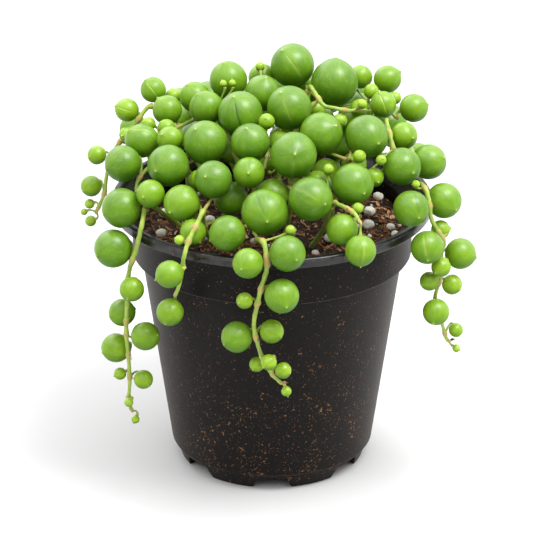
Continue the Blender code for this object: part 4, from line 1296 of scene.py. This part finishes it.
def stem_radii(count, base, knots):
    """Radius and closeness to a node at each point of a stem."""
    place = np.arange(count) * FINE_STEP
    slim = 1 - STEM_TAPER * np.clip(place / (count * FINE_STEP), 0, 1) ** 2
    radius = base * slim * (1 + 0.05 * np.sin(place * 1.7))
    knot = np.zeros(count)
    for middle in knots:
        knot = np.maximum(knot, np.exp(-(((place - middle * FINE_STEP) / NODE_LENGTH) ** 2)))
    return radius * (1 + NODE_SWELL * knot), knot


def swayed(spot, place, number):
    """A point of a stem, moved a little to the side."""
    shift = [noise.noise(Vector((0.5 * place, number, kind))) for kind in (1, 5)]
    return spot + STEM_SWAY * Vector((*shift, 0))


def stalk(spot, pole, axis, girth):
    """A short curved stalk from the stem to a leaf's foot."""
    lead = pole - axis * min(1.4, 0.6 * (pole - spot).length + 0.3)
    route = []
    share = np.linspace(0, 1, STALK_POINTS)
    for part in share:
        route.append(spot * (1 - part) ** 2 + lead * 2 * part * (1 - part) + pole * part**2)
    radii = girth * (1.25 - 0.5 * np.sin(pi * share) + 0.35 * share**3)
    points, faces = tube(route, radii, STALK_SIDES)
    joint = np.clip(np.exp(-(((share - 0.06) / 0.12) ** 2)) + 0.9 * share**5, 0, 1)
    return points, faces, np.repeat(joint, STALK_SIDES)


def make_stems(plant):
    """The stems with their nodes and the leaves' stalks, one piece a string."""
    material = stem_skin(plant)
    for name, item in placed_strings().items():
        groups = []
        knots = {number: [] for number in range(len(item["stems"]))}
        for number, (centre, size) in enumerate(item["leaves"]):
            stem, place, spot = closest_spot(item["stems"], centre)
            knots[stem].append(place)
            axis = leaf_axis(name, number, centre, spot)
            pole = centre - axis * (size / 2) * 0.99
            girth = plant.stalk_radius / MM * (0.75 + 0.35 * min(size, 9) / 9)
            points, faces, joint = stalk(spot, pole, axis, girth)
            groups.append((points, faces, {"knot": joint, "shoot": np.full(len(points), 0.6)}))
        for number, stem in enumerate(item["stems"]):
            route = [swayed(spot, place, number)
                     for place, spot in enumerate(smooth_route(stem, FINE_STEP))]
            hanging = stem[-1][2] < POT_HEIGHT
            radii, knot = stem_radii(len(route), plant.stem_radius / MM, knots[number])
            radii[-3:] *= (0.9, 0.7, 0.35)
            points, faces = tube(route, radii, STEM_SIDES)
            far = np.repeat(np.linspace(0, 1, len(route)), STEM_SIDES) if hanging else np.zeros(len(points))
            groups.append((points, faces, {"knot": np.repeat(knot, STEM_SIDES), "shoot": far}))
        points, faces, values = joined(groups)
        add_piece(f"{name}_stems", points, faces, material, [name], values=values)


def husk(spot, way, length, width, seed):
    """A dried scale leaf: a pointed, cupped and creased sliver."""
    rows, columns = 7, 5
    points = []
    for row in range(rows):
        share = row / (rows - 1)
        half = width * (1 - share) ** 0.7 * (0.55 + 0.45 * sin(pi * min(1, share * 1.4)))
        for column in range(columns):
            across = (column / (columns - 1) - 0.5) * 2
            lift = 0.25 * width * across * across + 0.18 * length * share * share
            crease = 0.06 * noise.noise(Vector((across * 2, share * 4, seed)))
            points.append((across * half, lift + crease, share * length))
    faces = []
    for row in range(rows - 1):
        for column in range(columns - 1):
            here = row * columns + column
            faces.append((here, here + 1, here + columns + 1, here + columns))
    thick = 0.07
    upper = np.array(points)
    lower = upper - (0, thick, 0)
    count = len(upper)
    faces += [tuple(count + corner for corner in reversed(face)) for face in faces]
    rim = list(range(columns))
    rim += [row * columns + columns - 1 for row in range(1, rows)]
    rim += [(rows - 1) * columns + column for column in range(columns - 2, -1, -1)]
    rim += [row * columns for row in range(rows - 2, 0, -1)]
    for here, after in zip(rim, rim[1:] + rim[:1]):
        faces.append((after, here, count + here, count + after))
    both = np.concatenate([upper, lower])
    turn = turned_to(way, Vector((0.3, 0.2, 1)))
    return both @ turn.T + np.array(spot), faces


def make_husks(plant):
    """Dried scale leaves at the stems' nodes, one piece for the whole plant."""
    draw = np.random.default_rng(plant.seed)
    groups = []
    for item in placed_strings().values():
        for centre, _ in item["leaves"]:
            stem, place, spot = closest_spot(item["stems"], centre)
            if draw.uniform() > plant.husk_share:
                continue
            route = smooth_route(item["stems"][stem], FINE_STEP)
            ahead = (route[place + 1] - route[place - 1]).normalized()
            off = (spot - centre).normalized()
            off = (off + Vector(draw.normal(0, 0.6, 3))).normalized()
            off = (off - off.dot(ahead) * ahead).normalized()
            way = (off + 0.9 * ahead).normalized()
            length = draw.uniform(0.7, 1.5)
            points, faces = husk(spot + off * 0.5, way, length, 0.3 * length, draw.uniform(0, 50))
            groups.append((points, faces, {"tone": np.full(len(points), draw.uniform())}))
    points, faces, values = joined(groups)
    add_piece("dried_bracts", points, faces, dried_skin(plant), values=values)


# The stage

def white_room(stage):
    """White surroundings that light the object less from the viewer's side, and look plain white."""
    room = Finish("white_room", "worlds")
    _, depth, height = room.parts(room.node("ShaderNodeTexCoord", output="Generated"))
    light = room.between(room.step(depth, -0.9, 0.2), stage.front_room_light, stage.room_light)
    light = room.between(room.step(height, 0.3, 0.75), light, stage.overhead_light)
    seen = room.node("ShaderNodeLightPath", output="Is Camera Ray")
    light = room.between(seen, light, stage.room_light)
    white = room.node("ShaderNodeBackground", inputs={"Color": (1.0, 1.0, 1.0, 1.0), "Strength": light})
    room.node("ShaderNodeOutputWorld", inputs={"Surface": white})
    return room.block


def make_stage(stage):
    """Floor, lights and camera."""
    scene = bpy.context.scene
    half = stage.floor_size / 2
    mesh = bpy.data.meshes.new("studio_floor")
    corners = [(-half, -half, 0), (half, -half, 0), (half, half, 0), (-half, half, 0)]
    mesh.from_pydata(corners, [], [(0, 1, 2, 3)])
    mesh.materials.append(studio_floor(stage))
    floor = bpy.data.objects.new("studio_floor", mesh)
    floor.location.z = -FLOOR_DROP
    scene.collection.objects.link(floor)
    middle = Vector(stage.aim)
    for name, way, distance, size, power in (
        ("key_light", (0.38, -0.22, 0.90), stage.key_distance, stage.key_size, stage.key_power),
        ("front_light", (-0.35, -0.9, 0.3), 1.4, 1.1, stage.front_power),
        ("back_light", (-0.5, 0.75, 0.62), 1.3, 0.9, stage.back_power),
    ):
        data = bpy.data.lights.new(name, "AREA")
        data.shape = "SQUARE"
        data.size = size
        data.energy = power
        light = bpy.data.objects.new(name, data)
        light.location = middle + Vector(way).normalized() * distance
        light.rotation_euler = (light.location - middle).to_track_quat("Z", "Y").to_euler()
        scene.collection.objects.link(light)
    scene.world = white_room(stage)
    scene.view_settings.view_transform = "Standard"
    scene.view_settings.look = "None"
    data = bpy.data.cameras.new("camera")
    data.lens = stage.lens
    data.sensor_width = 36.0
    data.clip_start = 0.01
    data.clip_end = 50.0
    camera = bpy.data.objects.new("camera", data)
    rise = stage.camera_elevation
    back = Vector((0, -cos(rise), sin(rise)))
    camera.location = middle + back * stage.camera_distance
    camera.rotation_euler = back.to_track_quat("Z", "Y").to_euler()
    scene.collection.objects.link(camera)
    scene.camera = camera


# Settings, operators and panel

def tint(name, description, default):
    """A colour property."""
    return FloatVectorProperty(name=name, description=description, subtype="COLOR", size=3, min=0.0, max=1.0,
                               default=default)


def amount(name, description, default, unit="NONE"):
    """A number property with a unit of its own."""
    return FloatProperty(name=name, description=description, default=default, unit=unit)


def fraction(name, description, default):
    """A property from 0 to 1."""
    return FloatProperty(name=name, description=description, default=default, min=0.0, max=1.0,
                         subtype="FACTOR")


def metres(name, description, default):
    """A size property, in metres."""
    return FloatProperty(name=name, description=description, unit="LENGTH", min=0.0, default=default,
                         precision=5)


class PotLooks(bpy.types.PropertyGroup):
    sides: IntProperty(name="Sides", description="Flats round the pot", default=192, min=24)
    edge_radius: metres("Edge radius", "Rounding of the pot's edges", 0.0004)
    plastic_colour: tint("Plastic", "The black plastic", (0.0030, 0.0030, 0.0032))
    dust_colour: tint("Dust", "Greyish bloom on the plastic", (0.0075, 0.0068, 0.0064))
    scratch_colour: tint("Scratches", "Fine scratches round the pot", (0.16, 0.15, 0.14))
    # Pale lines along the pot's edges: partly wear, partly painted highlight
    edge_wear_and_highlight_colour: tint("Worn edges", "Pale wear along the edges", (0.10, 0.088, 0.08))
    fleck_colour: tint("Dark flecks", "Brown flecks in the plastic", (0.22, 0.08, 0.022))
    pale_fleck_colour: tint("Pale flecks", "Tan flecks in the plastic", (0.33, 0.19, 0.09))
    fleck_share: fraction("Flecks", "How strongly flecks show", 0.85)


class SoilLooks(bpy.types.PropertyGroup):
    rings: IntProperty(name="Rings", description="Rings of points in the soil's surface", default=60, min=8)
    sides: IntProperty(name="Sides", description="Points in each ring", default=180, min=12)
    chips: IntProperty(name="Chips", description="Bark crumbs on the soil", default=3600, min=1)
    fibres: IntProperty(name="Fibres", description="Coir fibres on the soil", default=260, min=1)
    perlite_crumbs: IntProperty(name="Perlite crumbs", description="Tiny perlite grains", default=70, min=1)
    seed: IntProperty(name="Seed", description="Start of the random draws", default=4)
    mix_colour: tint("Dark mix", "Damp humus", (0.012, 0.0065, 0.004))
    brown_colour: tint("Brown", "Brown crumbs", (0.075, 0.030, 0.012))
    chip_colour: tint("Bark", "Orange-brown bark", (0.52, 0.21, 0.07))
    fibre_colour: tint("Fibre", "Pale coir fibre", (0.82, 0.56, 0.31))
    perlite_colour: tint("Perlite", "Chalky off-white", (1.0, 0.95, 0.86))
    stain_colour: tint("Stains", "Brown stains on perlite", (0.50, 0.36, 0.24))


class PlantLooks(bpy.types.PropertyGroup):
    seed: IntProperty(name="Seed", description="Start of the random draws", default=7)
    tip_length: metres("Tip length", "Length of a leaf's pointed tip", 0.00042)
    stem_radius: metres("Stem radius", "Radius of a stem between its nodes", 0.00062)
    stalk_radius: metres("Stalk radius", "Radius of a leaf's stalk", 0.00034)
    glow_depth: metres("Glow depth", "How deep light goes into the flesh", 0.0013)
    leaf_glow: fraction("Leaf glow", "How much light passes through the flesh", 0.24)
    leaf_roughness: fraction("Leaf roughness", "Roughness of the leaves' skin", 0.36)
    husk_share: fraction("Bracts", "Share of nodes with a dried bract", 0.45)
    bud_colour: tint("Bud", "Bright buds", (0.40, 0.60, 0.04))
    young_colour: tint("Young leaf", "Small fresh leaves", (0.26, 0.45, 0.012))
    leaf_colour: tint("Leaf", "Full-grown leaves", (0.163, 0.335, 0.011))
    old_colour: tint("Old leaf", "The darkest leaves and shading lines", (0.07, 0.19, 0.010))
    # Painted shade: this green is laid on the leaves' undersides in place of shade
    painted_underside_shade_colour: tint("Underside", "Deep green undersides", (0.045, 0.14, 0.006))
    line_colour: tint("Lines", "Pale lines and pores", (0.36, 0.52, 0.08))
    slit_colour: tint("Slit", "The dark translucent slit", (0.02, 0.075, 0.015))
    tip_colour: tint("Tip", "The pale point", (0.52, 0.60, 0.12))
    stem_colour: tint("Stem", "Green stem", (0.27, 0.40, 0.05))
    shoot_colour: tint("Shoot", "Fresh stem", (0.42, 0.55, 0.09))
    cream_colour: tint("Cream", "Cream patches on stems", (0.70, 0.66, 0.34))
    node_colour: tint("Node", "Tan nodes and joints", (0.56, 0.36, 0.13))
    husk_colour: tint("Husk", "Dark dried bracts", (0.10, 0.045, 0.02))
    straw_colour: tint("Straw", "Pale dried bracts", (0.56, 0.40, 0.22))


class StageLooks(bpy.types.PropertyGroup):
    floor_size: metres("Floor size", "Side of the floor", 12.0)
    floor_colour: tint("Floor", "Matt white", (0.67, 0.67, 0.67))
    room_light: amount("Room light", "Strength of the white surroundings", 1.0)
    front_room_light: amount("Front room light", "Their strength on the viewer's side", 0.1)
    overhead_light: amount("Overhead light", "Their strength overhead", 1.9)
    key_power: amount("Key light", "Power of the main light", 5.5, "POWER")
    key_size: metres("Key size", "Side of the main light", 0.40)
    key_distance: metres("Key distance", "From the object to the main light", 0.9)
    front_power: amount("Front light", "Power of the front light", 1.0, "POWER")
    back_power: amount("Back light", "Power of the light behind", 3.0, "POWER")
    camera_distance: metres("Camera distance", "From the camera to its aim", 0.78)
    camera_elevation: FloatProperty(name="Camera elevation", description="Angle above the horizon",
                                    subtype="ANGLE", default=VIEW_RISE)
    lens: FloatProperty(name="Lens", description="Focal length", unit="CAMERA", default=208.9)
    aim: FloatVectorProperty(name="Aim", description="Where the camera looks", subtype="XYZ", unit="LENGTH",
                             default=(-0.0014, 0.0, 0.0506))


class PLANT_OT_pot(bpy.types.Operator):
    """Turn the nursery pot and cut its foot"""

    bl_idname = "plant.pot"
    bl_label = "Pot"

    def execute(self, context):
        make_pot(context.scene.plant_pot)
        return {"FINISHED"}


class PLANT_OT_soil(bpy.types.Operator):
    """Fill the pot with potting mix, bark chips and fibres"""

    bl_idname = "plant.soil"
    bl_label = "Potting mix"

    def execute(self, context):
        make_soil(context.scene.plant_soil)
        make_chips(context.scene.plant_soil)
        return {"FINISHED"}


class PLANT_OT_perlite(bpy.types.Operator):
    """Scatter the perlite grains"""

    bl_idname = "plant.perlite"
    bl_label = "Perlite"

    def execute(self, context):
        make_perlite(context.scene.plant_soil)
        return {"FINISHED"}


class PLANT_OT_stems(bpy.types.Operator):
    """Grow the stems, their nodes and the leaves' stalks"""

    bl_idname = "plant.stems"
    bl_label = "Stems"

    def execute(self, context):
        make_stems(context.scene.plant_growth)
        return {"FINISHED"}


class PLANT_OT_leaves(bpy.types.Operator):
    """Grow the bead leaves"""

    bl_idname = "plant.leaves"
    bl_label = "Leaves"

    def execute(self, context):
        make_leaves(context.scene.plant_growth)
        return {"FINISHED"}


class PLANT_OT_husks(bpy.types.Operator):
    """Add the dried bracts at the nodes"""

    bl_idname = "plant.husks"
    bl_label = "Dried bracts"

    def execute(self, context):
        make_husks(context.scene.plant_growth)
        return {"FINISHED"}


class PLANT_OT_stage(bpy.types.Operator):
    """Set up the floor, the lights and the camera"""

    bl_idname = "plant.stage"
    bl_label = "Stage"

    def execute(self, context):
        make_stage(context.scene.plant_stage)
        return {"FINISHED"}


OPERATORS = (
    PLANT_OT_pot, PLANT_OT_soil, PLANT_OT_perlite, PLANT_OT_stems, PLANT_OT_leaves, PLANT_OT_husks,
    PLANT_OT_stage,
)
GROUPS = {
    "plant_pot": PotLooks, "plant_soil": SoilLooks, "plant_growth": PlantLooks, "plant_stage": StageLooks,
}


class PLANT_PT_panel(bpy.types.Panel):
    """Lists the steps that build the plant, and their sizes and colours"""

    bl_label = "Potted string of pearls"
    bl_idname = "PLANT_PT_panel"
    bl_space_type = "VIEW_3D"
    bl_region_type = "UI"
    bl_category = "Plant"

    def draw(self, context):
        for step in OPERATORS:
            self.layout.operator(step.bl_idname)
        for name, group in GROUPS.items():
            box = self.layout.box()
            for field in group.__annotations__:
                box.prop(getattr(context.scene, name), field)


def register():
    for group in GROUPS.values():
        bpy.utils.register_class(group)
    for name, group in GROUPS.items():
        setattr(bpy.types.Scene, name, PointerProperty(type=group))
    for item in (*OPERATORS, PLANT_PT_panel):
        bpy.utils.register_class(item)


def unregister():
    for item in reversed((*OPERATORS, PLANT_PT_panel)):
        bpy.utils.unregister_class(item)
    for name, group in GROUPS.items():
        delattr(bpy.types.Scene, name)
        bpy.utils.unregister_class(group)


def main():
    register()
    bpy.ops.plant.pot()
    bpy.ops.plant.soil()
    bpy.ops.plant.perlite()
    bpy.ops.plant.stems()
    bpy.ops.plant.leaves()
    bpy.ops.plant.husks()
    bpy.ops.plant.stage()


if __name__ == "__main__":
    main()
